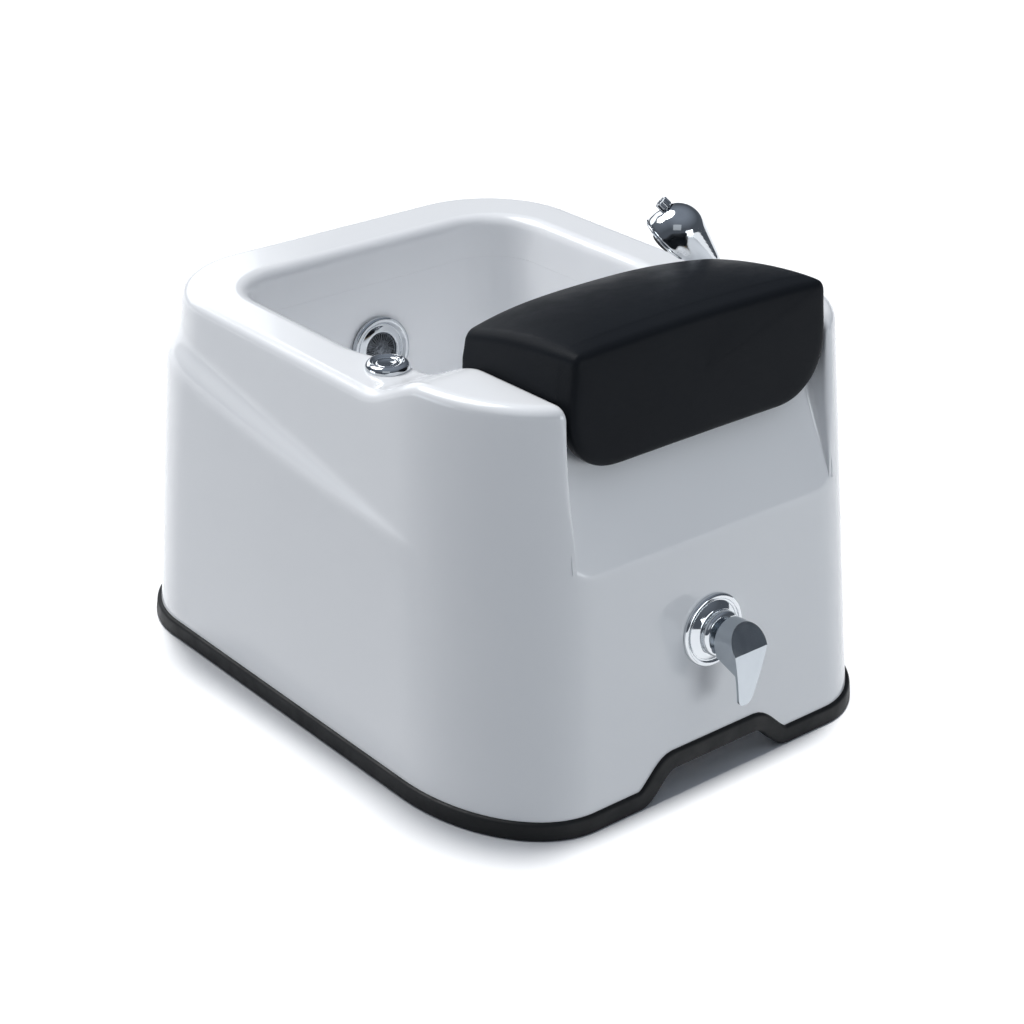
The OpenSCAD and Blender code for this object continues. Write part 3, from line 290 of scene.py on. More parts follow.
# sand-cast brass, tumbled: warm, pitted
castBrass = layeredFinish("brassCastTumbled", {
    "shader": {"Metallic": 1.0},
    "colours": ("#B08D4C", "#CDAA64"), "patch": 15, "roughness": (0.3, 0.45), "wipe": 8,
    "grain": 1.0, "depth": 0.06})
# brushed stainless tube: fine lines along its length
brushedSteel = layeredFinish("stainlessBrushed", {
    "shader": {"Metallic": 1.0},
    "colours": ("#A9ADB1", "#C0C4C7"), "patch": 8, "roughness": (0.25, 0.38), "wipe": 5,
    "grain": 0.9, "depth": 0.02, "stretch": (1.0, 0.05, 1.0)})
# zinc-plated steel of nuts and screws: dull, bluish spangle
zincPlate = layeredFinish("steelZincPlated", {
    "shader": {"Metallic": 1.0},
    "colours": ("#9BA2A8", "#B9BFC3"), "patch": 3, "roughness": (0.28, 0.42), "wipe": 3,
    "grain": 2.0, "depth": 0.02, "cells": True})
# injection-moulded acetal and polypropylene: white, waxy
whiteAcetal = layeredFinish("acetalMouldedWhite", {
    "shader": {"IOR": 1.48, "Subsurface Weight": 0.05, "Subsurface Radius": (0.002, 0.002, 0.002)},
    "colours": ("#E3E3DE", "#ECECE8"), "patch": 30, "roughness": (0.3, 0.4), "wipe": 15,
    "grain": 1.5, "depth": 0.01})
# spark-eroded ABS of the control box and waste fittings: fine even texture
greyAbs = layeredFinish("absTexturedGrey", {
    "shader": {"IOR": 1.53},
    "colours": ("#A3A6A8", "#ADB0B2"), "patch": 50, "roughness": (0.45, 0.55), "wipe": 20,
    "grain": 0.9, "depth": 0.04})
# glass-filled polyamide of the gland, motor and knob: black, dull
blackPolyamide = layeredFinish("polyamideMouldedBlack", {
    "shader": {"IOR": 1.53},
    "colours": ("#1A1B1D", "#242628"), "patch": 20, "roughness": (0.42, 0.55), "wipe": 12,
    "grain": 1.0, "depth": 0.03})
# clear PVC tube: water-clear, faintly blue
clearTube = layeredFinish("pvcTubeClear", {
    "shader": {"IOR": 1.53, "Transmission Weight": 0.85},
    "colours": ("#DCE8F2", "#E6EEF4"), "patch": 20, "roughness": (0.08, 0.16), "wipe": 12,
    "grain": 4, "depth": 0.01})


def birchPlywood():
    # birch plywood, sanded and sealed: soft bands at the edge, drawn 9.4 mm apart, coarser than real plies
    look = {"band": 9.425, "fibre": 2.2, "fibreLength": 0.04, "light": "#D9BE92", "dark": "#B8935F"}
    made = bpy.data.materials.new("birchPlywoodSealed")
    made.use_nodes = True
    tree = made.node_tree
    shader = tree.nodes["Principled BSDF"]
    shader.inputs["Roughness"].default_value = 0.55
    place = addNode(tree, "ShaderNodeTexCoord").outputs["Object"]
    along = addNode(tree, "ShaderNodeMapping", {"Scale": (look["fibreLength"], 1, 1)}, {"Vector": place})
    fibres = addNode(tree, "ShaderNodeTexNoise",
                     {"Scale": perMetre(look["fibre"]), "Detail": 4.0}, {"Vector": along.outputs[0]})
    # a wave goes through 20 radians for each unit of its scale
    bands = perMetre(look["band"]) * math.pi / 10
    plies = addNode(tree, "ShaderNodeTexWave",
                    {"bands_direction": "Z", "Scale": bands, "Distortion": 0.3}, {"Vector": place})
    both = addNode(tree, "ShaderNodeMath", {"operation": "MULTIPLY_ADD", 1: 0.5},
                   {0: fibres.outputs[0], 2: plies.outputs[1]})
    dark, light = hexColour(look["dark"]), hexColour(look["light"])
    tint = addNode(tree, "ShaderNodeMix", {"data_type": "RGBA", 6: dark, 7: light}, {0: both.outputs[0]})
    tree.links.new(tint.outputs[2], shader.inputs["Base Color"])
    bump = addNode(tree, "ShaderNodeBump", {"Distance": 0.05 * mm}, {"Height": fibres.outputs[0]})
    tree.links.new(bump.outputs[0], shader.inputs["Normal"])
    return made


birch = birchPlywood()
print("finishes ready")

# ---- the tub's own shape, in millimetres
trimBox = [v * 1000 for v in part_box("base_trim")]
tub = {
    "trimProud": 5, "sole": 6, "trimTop": 20, "trimBack": 3, "skin": 5,
    "sideLean": 0.05, "frontLean": 0.07, "backLean": 0.15,
    "frontCornerX": 113, "frontCornerY": 170, "backCorner": 122,
    "rimHeight": 424, "cheekHeight": 457, "rimRoll": 12, "riseStart": 266, "riseLength": 100,
    "stepLow": 292, "stepHigh": 373, "stepDeep": 13, "stepLedge": 24, "stepFront": 180, "stepBack": 154,
    "stepStart": 6, "stepUnder": 9, "stepUnderBack": 14, "stepOver": 9,
    "archHeight": 31, "archOuter": 105, "archInner": 58,
    "channelHalf": 174, "creaseHeight": 277, "ledgeHeight": 402, "rampRun": 51, "creaseSoft": 1.3,
    "cheekEdge": 9, "cheekGrow": 30, "rampFillet": 6, "filletGrow": 25, "filletFade": 12,
    "ledgeEdge": 8, "edgeRoom": 0.8, "ledgeNear": 0.1,
}
basin = {
    "half": 195, "fromFront": 206, "fromBack": 145, "frontRadius": 62, "backRadius": 67, "lipRoll": 15,
    "lean": 0.12, "lipLow": 376, "seam": 0.1, "flangeUp": 18, "floor": 150, "fillet": 30,
    "neckLength": 100, "neckStart": 8, "neckEnd": 25, "wasteHole": 24,
}
baseHalf = trimBox[1].x
frontY = trimBox[0].y
backY = trimBox[1].y
basinFrontY = frontY + basin["fromFront"]
basinBackY = backY - basin["fromBack"]
neckY = basinFrontY + basin["frontRadius"]
mouthTurnX = tub["channelHalf"] - basin["frontRadius"]
edgeTop = tub["rimHeight"] - basin["lipRoll"]
riseY = frontY + tub["riseStart"]


def sideAt(z):
    return baseHalf - tub["trimProud"] - tub["sideLean"] * z


def frontAt(z):
    return frontY + tub["trimProud"] + tub["frontLean"] * z


def backAt(z):
    return backY - tub["trimProud"] - tub["backLean"] * z


creaseY = frontAt(tub["creaseHeight"])
ledgeY = creaseY + tub["rampRun"]


def rampAt(z):
    return mix(creaseY, ledgeY, (z - tub["creaseHeight"]) / (tub["ledgeHeight"] - tub["creaseHeight"]))


def rimHeight(y):
    return mix(tub["rimHeight"], tub["cheekHeight"], smooth((riseY - y) / tub["riseLength"]))


def archLift(x):
    return tub["archHeight"] * smooth((tub["archOuter"] - x) / (tub["archOuter"] - tub["archInner"]))


def basinLean(z):
    return min(0.0, basin["lean"] * (z - edgeTop))


def frontWall(x, z, inset):
    rx, ry = tub["frontCornerX"], tub["frontCornerY"]
    share = min(1.0, max(0.0, (x - (sideAt(z) - rx)) / (rx - inset)))
    return frontAt(z) + ry - (ry - inset) * math.sqrt(1 - share * share)


def outerPoint(station, z, inset, startX):
    # a point of the outer wall; a station is a stretch of the outline and how far along it
    stretch, share = station
    half = sideAt(z)
    cornerX, cornerY = half - tub["frontCornerX"], frontAt(z) + tub["frontCornerY"]
    backX, backTurn = half - tub["backCorner"], backAt(z) - tub["backCorner"]
    if stretch == "front corner":
        rx, ry = tub["frontCornerX"] - inset, tub["frontCornerY"] - inset
        start = math.asin(min(1.0, max(0.0, (startX - cornerX) / rx)))
        angle = mix(start, math.pi / 2, share)
        return cornerX + rx * math.sin(angle), cornerY - ry * math.cos(angle)
    if stretch == "side":
        return half - inset, mix(cornerY, backTurn, share)
    if stretch == "back corner":
        r = tub["backCorner"] - inset
        angle = share * math.pi / 2
        return backX + r * math.cos(angle), backTurn + r * math.sin(angle)
    return backX * (1 - share), backAt(z) - inset


def mouthHalf(y):
    share = smooth((y - neckY - basin["neckStart"]) / basin["neckLength"])
    return mix(tub["channelHalf"], basin["half"], share)


def mouthPoint(station):
    # the basin mouth opposite a station, with its outward direction
    stretch, share = station
    turnX, turnY = basin["half"] - basin["backRadius"], basinBackY - basin["backRadius"]
    neckTurn = neckY + basin["neckEnd"]
    if stretch == "front corner":
        y = mix(neckY, neckTurn, share)
        return (mouthHalf(y), y), (1.0, 0.0)
    if stretch == "side":
        y = mix(neckTurn, turnY, share)
        return (mouthHalf(y), y), (1.0, 0.0)
    angle = share * math.pi / 2
    if stretch == "back corner":
        out = (math.cos(angle), math.sin(angle))
        return (turnX + basin["backRadius"] * out[0], turnY + basin["backRadius"] * out[1]), out
    return (turnX * (1 - share), basinBackY), (0.0, 1.0)


def frontMouth(x, angle):
    # the mouth under the footrest, straight and then round its corner
    if angle is None:
        return (x, basinFrontY), (0.0, -1.0)
    out = (math.sin(angle), -math.cos(angle))
    return (mouthTurnX + basin["frontRadius"] * out[0], neckY + basin["frontRadius"] * out[1]), out


stations = ([("front corner", i / 26) for i in range(27)] + [("side", i / 40) for i in range(1, 41)]
            + [("back corner", i / 20) for i in range(1, 21)] + [("back", i / 12) for i in range(1, 13)])
# columns of the front: across the toe arch, then round the mouth's corner by their angle
archXs = [mix(tub["archInner"], tub["archOuter"], i / 12) for i in range(13)]
frontColumns = [(x, None) for x in [0, 20, 40] + archXs + [mouthTurnX]]
for i in range(1, 13):
    turn = math.pi / 2 * i / 12
    frontColumns.append((mouthTurnX + basin["frontRadius"] * math.sin(turn), turn))


def between(a, b, count):
    # even steps from a to b, without a itself
    return [mix(a, b, i / count) for i in range(1, count + 1)]


def bend(a, corner, b, count):
    # a rounded corner as a short curve from a to b, without its first point
    made = []
    for i in range(1, count + 1):
        t = i / count
        made.append(tuple((1 - t) ** 2 * p + 2 * t * (1 - t) * q + t * t * r
                          for p, q, r in zip(a, corner, b)))
    return made


# rows of faces in each stretch of the wall, from its foot to the basin
wallCounts = {"low": 20, "turn": 5, "high": 9, "roll": 7, "deck": 26, "lip": 7, "join": 6, "drop": 5,
              "edge": 5, "fillet": 4}


def wallRows(y):
    # (height, inset) from the bottom edge up to the roll, with the side's step in between
    top = rimHeight(y) - tub["rimRoll"]
    first, last = frontY + tub["stepFront"], backY - tub["stepBack"]
    share = min(1.0, max(0.0, (y - first) / (last - first)))
    fade = 1 - (1 - share) ** 2
    upper = mix(tub["stepLow"], tub["stepHigh"], share)
    lower = upper - mix(tub["stepStart"], tub["stepLedge"], fade)
    out = -tub["stepDeep"] * fade
    foot = tub["trimTop"] + 2
    before = lower - mix(tub["stepUnder"], tub["stepUnderBack"], fade)
    if fade == 0:
        before = tub["creaseHeight"]
    low = (before, out * (before - foot) / (lower - foot))
    half = ((lower + upper) / 2, out / 2)
    high = (upper + tub["stepOver"], 0.0)
    rows = []
    count = wallCounts["low"]
    for i in range(count + 1):
        z = mix(tub["sole"], low[0], 1 - (1 - i / count) ** 1.5)  # closer together near the step
        rows.append((z, low[1] * max(0.0, (z - foot) / (low[0] - foot))))
    rows += bend(low, (lower, out), half, wallCounts["turn"])
    rows += bend(half, (upper, 0.0), high, wallCounts["turn"])
    rows += [(z, 0.0) for z in between(high[0], top, wallCounts["high"])]
    return rows


rowCount = len(wallRows(0))
frontRows = wallRows(frontY)
ledgeStart = next(j for j, (z, _) in enumerate(frontRows) if z > tub["ledgeHeight"])
deckStart = rowCount + wallCounts["roll"]
sideRows = deckStart + wallCounts["deck"]


def ledgeShare(j):
    # how far row j is from the ramp to the mouth, close together at first
    if j < deckStart:
        return tub["ledgeNear"] * (j - ledgeStart) / (deckStart - ledgeStart)
    return mix(tub["ledgeNear"], 1.0, (j - deckStart + 1) / wallCounts["deck"])


def ledgeEdgeAt(angle):
    # the rounding of the ledge's edge, which dies away in the mouth's corner
    if angle is None:
        return tub["ledgeEdge"]
    return min(tub["ledgeEdge"], tub["edgeRoom"] * basin["frontRadius"] * (1 / math.sin(angle) - 1))


def lowPoint(x, angle, j):
    # front face, ramp and ledge at row j
    if j < ledgeStart:
        z = frontRows[j][0]
        return x, softMax(frontWall(x, z, 0), rampAt(z), tub["creaseSoft"]), z
    (mx, my), (nx, ny) = frontMouth(x, angle)
    grow = ledgeEdgeAt(angle) + basinLean(tub["ledgeHeight"])
    share = ledgeShare(j)
    return mix(x, mx + nx * grow, share), mix(ledgeY, my + ny * grow, share), tub["ledgeHeight"]


def rimRoll(top):
    # (inset, height) up and over the rim's roll
    roll, count = tub["rimRoll"], wallCounts["roll"]
    return arc(roll, top, -roll, roll, 90 / count, 90, count - 1)


def highPoint(j, startX):
    # the cheek's outside at row j, where it stands at startX
    if j < rowCount:
        z = frontRows[j][0]
        return startX, frontWall(startX, z, 0), z
    roll = tub["rimRoll"]
    y0 = frontWall(startX, tub["rimHeight"], 0)
    top = rimHeight(y0) - roll
    if j < deckStart:
        inset, z = rimRoll(top)[j - rowCount]
        return startX, frontWall(startX, top, inset), z
    crestY = frontWall(tub["channelHalf"] + tub["cheekEdge"], top, roll)
    y = mix(crestY, neckY, (j - deckStart + 1) / wallCounts["deck"])
    return startX, y, rimHeight(y)


def cheekRise(j):
    # how high the cheek's inner wall stands at row j
    return math.dist(lowPoint(tub["channelHalf"], math.pi / 2, j), highPoint(j, tub["channelHalf"]))


def cheekEdgeAt(j):
    # the rounding of the cheek's inner edge, which grows into the roll of the mouth
    if j >= deckStart:
        return mix(tub["cheekEdge"], basin["lipRoll"], (j - deckStart + 1) / wallCounts["deck"])
    return tub["cheekEdge"] * smooth(cheekRise(j) / tub["cheekGrow"])


def rampFilletAt(j):
    # the fillet at the foot of that wall, which dies away towards the ledge
    if j >= ledgeStart:
        return 0.0
    lift = (tub["ledgeHeight"] - frontRows[j][0]) / tub["filletFade"]
    return tub["rampFillet"] * smooth(cheekRise(j) / tub["filletGrow"]) * smooth(lift)


def outerColumn(station):
    startXs = [tub["channelHalf"] + cheekEdgeAt(j) for j in range(sideRows)]
    y0 = outerPoint(station, tub["rimHeight"], 0, tub["channelHalf"])[1]
    column = []
    for j, (z, inset) in enumerate(wallRows(y0)):
        column.append((*outerPoint(station, z, inset, startXs[j]), z))
    top = column[-1][2]
    for i, (inset, z) in enumerate(rimRoll(top)):
        column.append((*outerPoint(station, top, inset, startXs[rowCount + i]), z))
    crest = column[-1]
    (mx, my), (nx, ny) = mouthPoint(station)
    lip = basin["lipRoll"]
    for i in range(1, wallCounts["deck"] + 1):
        t = i / wallCounts["deck"]
        x, y = mix(crest[0], mx + nx * lip, t), mix(crest[1], my + ny * lip, t)
        column.append((x, y, rimHeight(y)))
    if station == stations[0]:
        column = [highPoint(j, startXs[j]) for j in range(sideRows)]
    edge, count = rimHeight(my) - lip, wallCounts["lip"]
    wall = arc(lip, edge, -lip, lip, 90 * (count - 1) / count, 0, count - 1)
    wall += [(basinLean(z), z) for z in between(edge, tub["ledgeHeight"], wallCounts["join"])]
    wall += [(basinLean(z), z) for z in between(tub["ledgeHeight"], basin["lipLow"], wallCounts["drop"])]
    return column + [(mx + nx * grow, my + ny * grow, z) for grow, z in wall]


def frontColumn(x, angle):
    column = []
    bottom, crease = tub["sole"], frontRows[wallCounts["low"]][0]
    for j in range(sideRows):
        wide = (tub["channelHalf"] - rampFilletAt(j)) / tub["channelHalf"]
        px, py, pz = lowPoint(x * wide if j < ledgeStart else x, angle, j)
        if j <= wallCounts["low"]:
            pz = mix(bottom + archLift(x), crease, (pz - bottom) / (crease - bottom))
            py = softMax(frontWall(px, pz, 0), rampAt(pz), tub["creaseSoft"])
        column.append((px, py, pz))
    (mx, my), (nx, ny) = frontMouth(x, angle)
    edge, count = ledgeEdgeAt(angle), wallCounts["edge"]
    top = tub["ledgeHeight"] - edge
    wall = arc(edge, top, -edge, edge, 90 * (count - 1) / count, 0, count - 1)
    wall += [(0, z) for z in between(top, basin["lipLow"], wallCounts["drop"])]
    wall = [(grow + basinLean(z), z) for grow, z in wall]
    return column + [(mx + nx * grow, my + ny * grow, z) for grow, z in wall]


def roundCorner(corner, a, b, steps):
    # a quarter turn from a to b on the inside of a corner
    turns = [math.pi / 2 * i / steps for i in range(steps + 1)]
    return [corner + (a - corner) * (1 - math.sin(t)) + (b - corner) * (1 - math.cos(t)) for t in turns]


def cheekWallColumns():
    # from the ramp's fillet up the inner wall of the cheek and over its rounded edge
    half = tub["channelHalf"]
    rows = []
    for j in range(sideRows):
        low = Vector(lowPoint(half, math.pi / 2, j))
        edge, fillet = cheekEdgeAt(j), rampFilletAt(j)
        high = Vector(highPoint(j, half))
        rise = high - low
        up = rise.normalized() if rise.length > 0.01 else Vector((0, 0, 0))
        foot = Vector(lowPoint(half - fillet, math.pi / 2, j)) if j < ledgeStart else low
        onWall, under = low + up * fillet, high - up * edge
        over = Vector(highPoint(j, half + edge))
        row = roundCorner(low, foot, onWall, wallCounts["fillet"])
        row += [onWall.lerp(under, i / wallCounts["join"]) for i in range(1, wallCounts["join"])]
        row += roundCorner(high, under, over, wallCounts["lip"])
        rows.append([tuple(p) for p in row])
    return [list(column) for column in zip(*rows)]


def addPatch(points, faces, columns, side):
    start, rows = len(points), len(columns[0])
    for column in columns:
        points.extend((side * x, y, z) for x, y, z in column)
    for i in range(len(columns) - 1):
        for j in range(rows - 1):
            a = start + i * rows + j
            quad = [a, a + rows, a + rows + 1, a + 1]
            faces.append(quad if side > 0 else quad[::-1])


def tubShell():
    points, faces = [], []
    for side in (1, -1):
        addPatch(points, faces, [frontColumn(x, angle) for x, angle in frontColumns], side)
        addPatch(points, faces, cheekWallColumns(), side)
        addPatch(points, faces, [outerColumn(station) for station in stations], side)
    shell = meshPiece("tubShell", points, faces)
    closeSeams(shell, 0.04)
    # a single sheet has no inside, so its side is checked by the outermost face
    outermost = max(shell.data.polygons, key=lambda face: face.center.x)
    if outermost.normal.x < 0:
        shell.data.flip_normals()
    wall = shell.modifiers.new("skin", "SOLIDIFY")
    wall.thickness = tub["skin"] * mm
    wall.offset = -1
    applyAll(shell)
    return shell


print("tub rows", rowCount, sideRows)

# ---- places of the fittings
fittings = {"mixerHeight": 170, "jetHeight": 297, "buttonX": -203, "buttonBack": 293, "collarX": 214,
            "collarBack": 268, "collarRadius": 23, "wasteFromBack": 204}
# radii of the holes through the tub and the basin
holes = {"mixer": 18.5, "button": 16, "collar": 18.5, "bush": 9.1, "jet": 26.5}
footrest = {"setBack": 42, "pinPitch": 220, "pinBack": 70}
mixerHeight, jetHeight = fittings["mixerHeight"], fittings["jetHeight"]
frontTilt = math.degrees(math.atan(tub["frontLean"]))
backTilt = math.degrees(math.atan(basin["lean"]))
mixerPlace = spot(0, frontAt(mixerHeight), mixerHeight, 90 - frontTilt)
jetPlace = spot(0, basinBackY + basinLean(jetHeight), jetHeight, 90 - backTilt)
buttonPlace = spot(fittings["buttonX"], frontY + fittings["buttonBack"], tub["rimHeight"])
collarY = frontY + fittings["collarBack"]
collarPlace = spot(fittings["collarX"], collarY, rimHeight(collarY - fittings["collarRadius"]))
wasteY = basinBackY - fittings["wasteFromBack"]
pinPlaces = [spot(side * footrest["pinPitch"] / 2, ledgeY + footrest["pinBack"], tub["ledgeHeight"])
             for side in (-1, 1)]


# ---- tub, basin and trim
def addBattens(skin, lines):
    # round battens laminated to the hidden back of a skin, each between two points
    batten = {"radius": 4, "tip": 3.6}
    bars = []
    for low, high in lines:
        start, along = Vector(low), Vector(high) - Vector(low)
        stand = Matrix.Translation(start * mm) @ along.to_track_quat("Z", "Y").to_matrix().to_4x4()
        bar = rod(batten["radius"], -batten["radius"], along.length + batten["radius"], stand, 16)
        roundEdges(bar, batten["tip"], 4, 40)
        bars.append(bar)
    joinTo(skin, bars)


def behindWall(share, z):
    # a point on the back of the tub's side wall, which leans out below the step
    station = ("side", share)
    y = outerPoint(station, z, 0, tub["channelHalf"])[1]
    inset = next(inset for row, inset in wallRows(y) if row >= z)
    return (*outerPoint(station, z, inset + tub["skin"], tub["channelHalf"]), z)


def behindBasin(share, z):
    (mx, my), (nx, ny) = mouthPoint(("side", share))
    grow = basinLean(z) + tub["skin"]
    return mx + nx * grow, my + ny * grow, z


def bothSides(lines):
    return lines + [tuple((-x, y, z) for x, y, z in line) for line in lines]


def makeTub():
    shell = tubShell()
    cuts = [("mixer", -15, mixerPlace), ("button", -20, buttonPlace), ("collar", -20, collarPlace)]
    cuts += [("bush", -12, place) for place in pinPlaces]
    for hole, low, place in cuts:
        carve(shell, rod(holes[hole], low, 8, place))
    addBattens(shell, bothSides([(behindWall(i / 5, 40), behindWall(i / 5, 240)) for i in range(1, 6)]))
    softShade(shell, 40)
    handOver(shell, gelCoat, "tub", "gel_coat", "tub_shell")


def makeBasin():
    counts = {"floor": 12, "fillet": 9, "wall": 22, "back": 6}
    skin, seam, bow = tub["skin"], basin["seam"], basin["fillet"]
    top, flangeTop = basin["lipLow"] - seam, basin["lipLow"] + basin["flangeUp"]
    filletTop = basin["floor"] + bow
    middle = basinLean(filletTop) - bow
    # the section as (outward, height): inner fillet and wall, lapped flange, and back down outside
    section = arc(middle, filletTop, bow, -bow, 90, 0, counts["fillet"])
    section += [(basinLean(z), z) for z in between(filletTop, top, counts["wall"])]
    lap = skin + seam
    section += [(basinLean(top) + lap, top), (basinLean(flangeTop) + lap, flangeTop),
                (basinLean(flangeTop) + 2 * skin - 1, flangeTop), (basinLean(top) + 2 * skin - 1, top - skin)]
    low = top - 2 * skin
    section += [(basinLean(z) + skin, z) for z in [low] + between(low, filletTop, counts["back"])]
    section += arc(middle, filletTop, bow + skin, -bow - skin, 0, 90, counts["fillet"])[1:]
    mouth = [frontMouth(x, angle) for x, angle in frontColumns] + [mouthPoint(s) for s in stations[1:]]
    points, faces = [], []
    for side in (1, -1):
        columns = []
        for (mx, my), (nx, ny) in mouth:
            column = [(mx + nx * grow, my + ny * grow, z) for grow, z in section]
            inner, under = Vector(column[0]), Vector(column[-1])
            waste = Vector((0, wasteY))
            hole = (inner.xy - waste).normalized() * basin["wasteHole"] + waste
            shares = between(0, 1, counts["floor"])
            above = [inner.lerp(Vector((*hole, basin["floor"])), share) for share in reversed(shares)]
            below = [under.lerp(Vector((*hole, basin["floor"] - skin)), share) for share in shares]
            columns.append([tuple(p) for p in above + column + below + above[:1]])
        addPatch(points, faces, columns, side)
    bowl = meshPiece("footBasin", points, faces)
    closeSeams(bowl, 0.04)
    carve(bowl, rod(holes["jet"], -20, 12, jetPlace))
    addBattens(bowl, bothSides([(behindBasin(i / 10, 190), behindBasin(i / 10, 356)) for i in (3, 5, 7, 9)]))
    softShade(bowl, 40)
    handOver(bowl, gelCoat, "tub", "gel_coat", "foot_basin")


def makeTrim():
    up, sole = tub["trimTop"] - tub["sole"], tub["sole"]
    proud, skin, back = tub["trimProud"], tub["skin"], tub["trimBack"]
    section = [(-skin - back, -sole), (proud - 3, -sole)] + arc(proud - 3, 3 - sole, 3, 3, -75, 0, 5)
    section += arc(proud - 4, up - 4, 4, 4, 0, 90, 6)
    section += [(0.15, up - 0.2), (0.1, 0), (-skin - 0.1, 0), (-skin - 0.1, up - 4),
                (-skin - back + 1, up - 4), (-skin - back, up - 5)]
    points, faces = [], []
    for side in (1, -1):
        columns = []
        for x, _ in frontColumns:
            slope = archLift(x + 0.5) - archLift(abs(x - 0.5))
            lean = math.sqrt(1 + slope * slope)
            column = []
            for u, v in section:
                px, pz = max(0.0, x - v * slope / lean), sole + archLift(x) + v / lean
                column.append((px, frontWall(px, pz, -u), pz))
            columns.append(column + [column[0]])
        for station in stations[1:]:
            column = [(*outerPoint(station, sole + v, -u, tub["channelHalf"]), sole + v)
                      for u, v in section]
            columns.append(column + [column[0]])
        addPatch(points, faces, columns, side)
    trim = meshPiece("baseTrim", points, faces)
    closeSeams(trim, 0.02)
    softShade(trim, 50)
    handOver(trim, trimRubber, "tub", "rubber_trim", "base_trim")


makeTub()
makeBasin()
makeTrim()


# ---- footrest pad
pad = {
    "front": 508, "back": 481, "noseLow": 377, "nose": 22, "endDepth": 172, "bow": 22, "lean": 3, "gap": 1.2,
    "under": 412.6, "crown": 4, "topRound": 11, "noseRound": 58, "backRound": 18, "edge": 7, "shrink": 1.5,
    "noseStep": 0.035, "noseLead": 0.2, "noseBlend": 9, "cap": 2, "frames": 20, "evening": 40,
    "heldHeight": 14, "heldBack": 12,
}
padHalf = tub["channelHalf"] - pad["gap"]
padFrontY = frontY + footrest["setBack"]
noseShare = pad["nose"] / (pad["endDepth"] + pad["bow"])


def padSection(share, shrink):
    # half of the pad's section, from the middle of the top round to the middle of the bottom
    top = mix(pad["front"], pad["back"], share * share) - shrink
    past = share - noseShare
    under = mix(pad["noseLow"], pad["under"], smooth(past / pad["noseStep"] + pad["noseLead"])) + shrink
    half, r = padHalf - shrink, pad["topRound"]
    low = mix(pad["noseRound"], pad["backRound"], smooth(past * pad["noseBlend"]))
    flat = half - pad["lean"] - r
    hip = min(top - r - 6, tub["cheekHeight"] - 6)
    section = []
    for i in range(26):
        x = flat * i / 26
        section.append((x, top + pad["crown"] * (1 - (x / flat) ** 2)))
    section += arc(flat, top - r, r, r, 90, 0, 8)
    section += [(mix(flat + r, half, smooth(t)), mix(top - r, hip, t)) for t in between(0, 1, 6)]
    knee = under + low
    section += [(half, z) for z in between(hip, knee, 5)[:-1]]
    section += arc(half - low, knee, low, -low, 0, 90, 10)
    return section + [(x, under) for x in between(half - low, 0, 20)]


def padRing(share, shrink):
    half = padSection(share, shrink)
    depth = [padFrontY + (pad["endDepth"] + pad["bow"] * (1 - (x / padHalf) ** 2)) * share for x, _ in half]
    ring = [(x, y, z) for (x, z), y in zip(half, depth)]
    return ring + [(-x, y, z) for x, y, z in ring[-2:0:-1]]


def makePad():
    edge, shrink = pad["edge"], pad["shrink"]
    depth = pad["endDepth"] + pad["bow"]
    # rings as (share of the depth, how far drawn in), closest together where the nose steps up
    front = [(y / depth, grow) for y, grow in arc(edge, shrink + edge, -edge, -edge, 0, 90, 6)]
    nose = [0.07, 0.092, noseShare, 0.12, 0.127, 0.134, 0.141, 0.15, 0.17, 0.2]
    middle = [(share, shrink) for share in nose + between(0.2, 0.93, 24)]
    back = [(1 - share, grow) for share, grow in reversed(front)]
    rings = [padRing(share, grow) for share, grow in front + middle + back]
    # both ends are closed by shrinking the end ring to its own middle
    shares = [0.93, 0.82, 0.7, 0.57, 0.44, 0.31, 0.19, 0.09]
    caps = []
    for end in (rings[0], rings[-1]):
        centre = sum((Vector(p) for p in end), Vector()) / len(end)
        caps.append([[tuple(centre.lerp(Vector(p), share)) for p in end] for share in shares])
    rings = caps[0][::-1] + rings + caps[1]
    points = [p for ring in rings for p in ring]
    cushion = meshPiece("footrestCushion", points, ringFaces(len(rings[0]), len(rings)))
    closeSeams(cushion, 0.02)
    return cushion


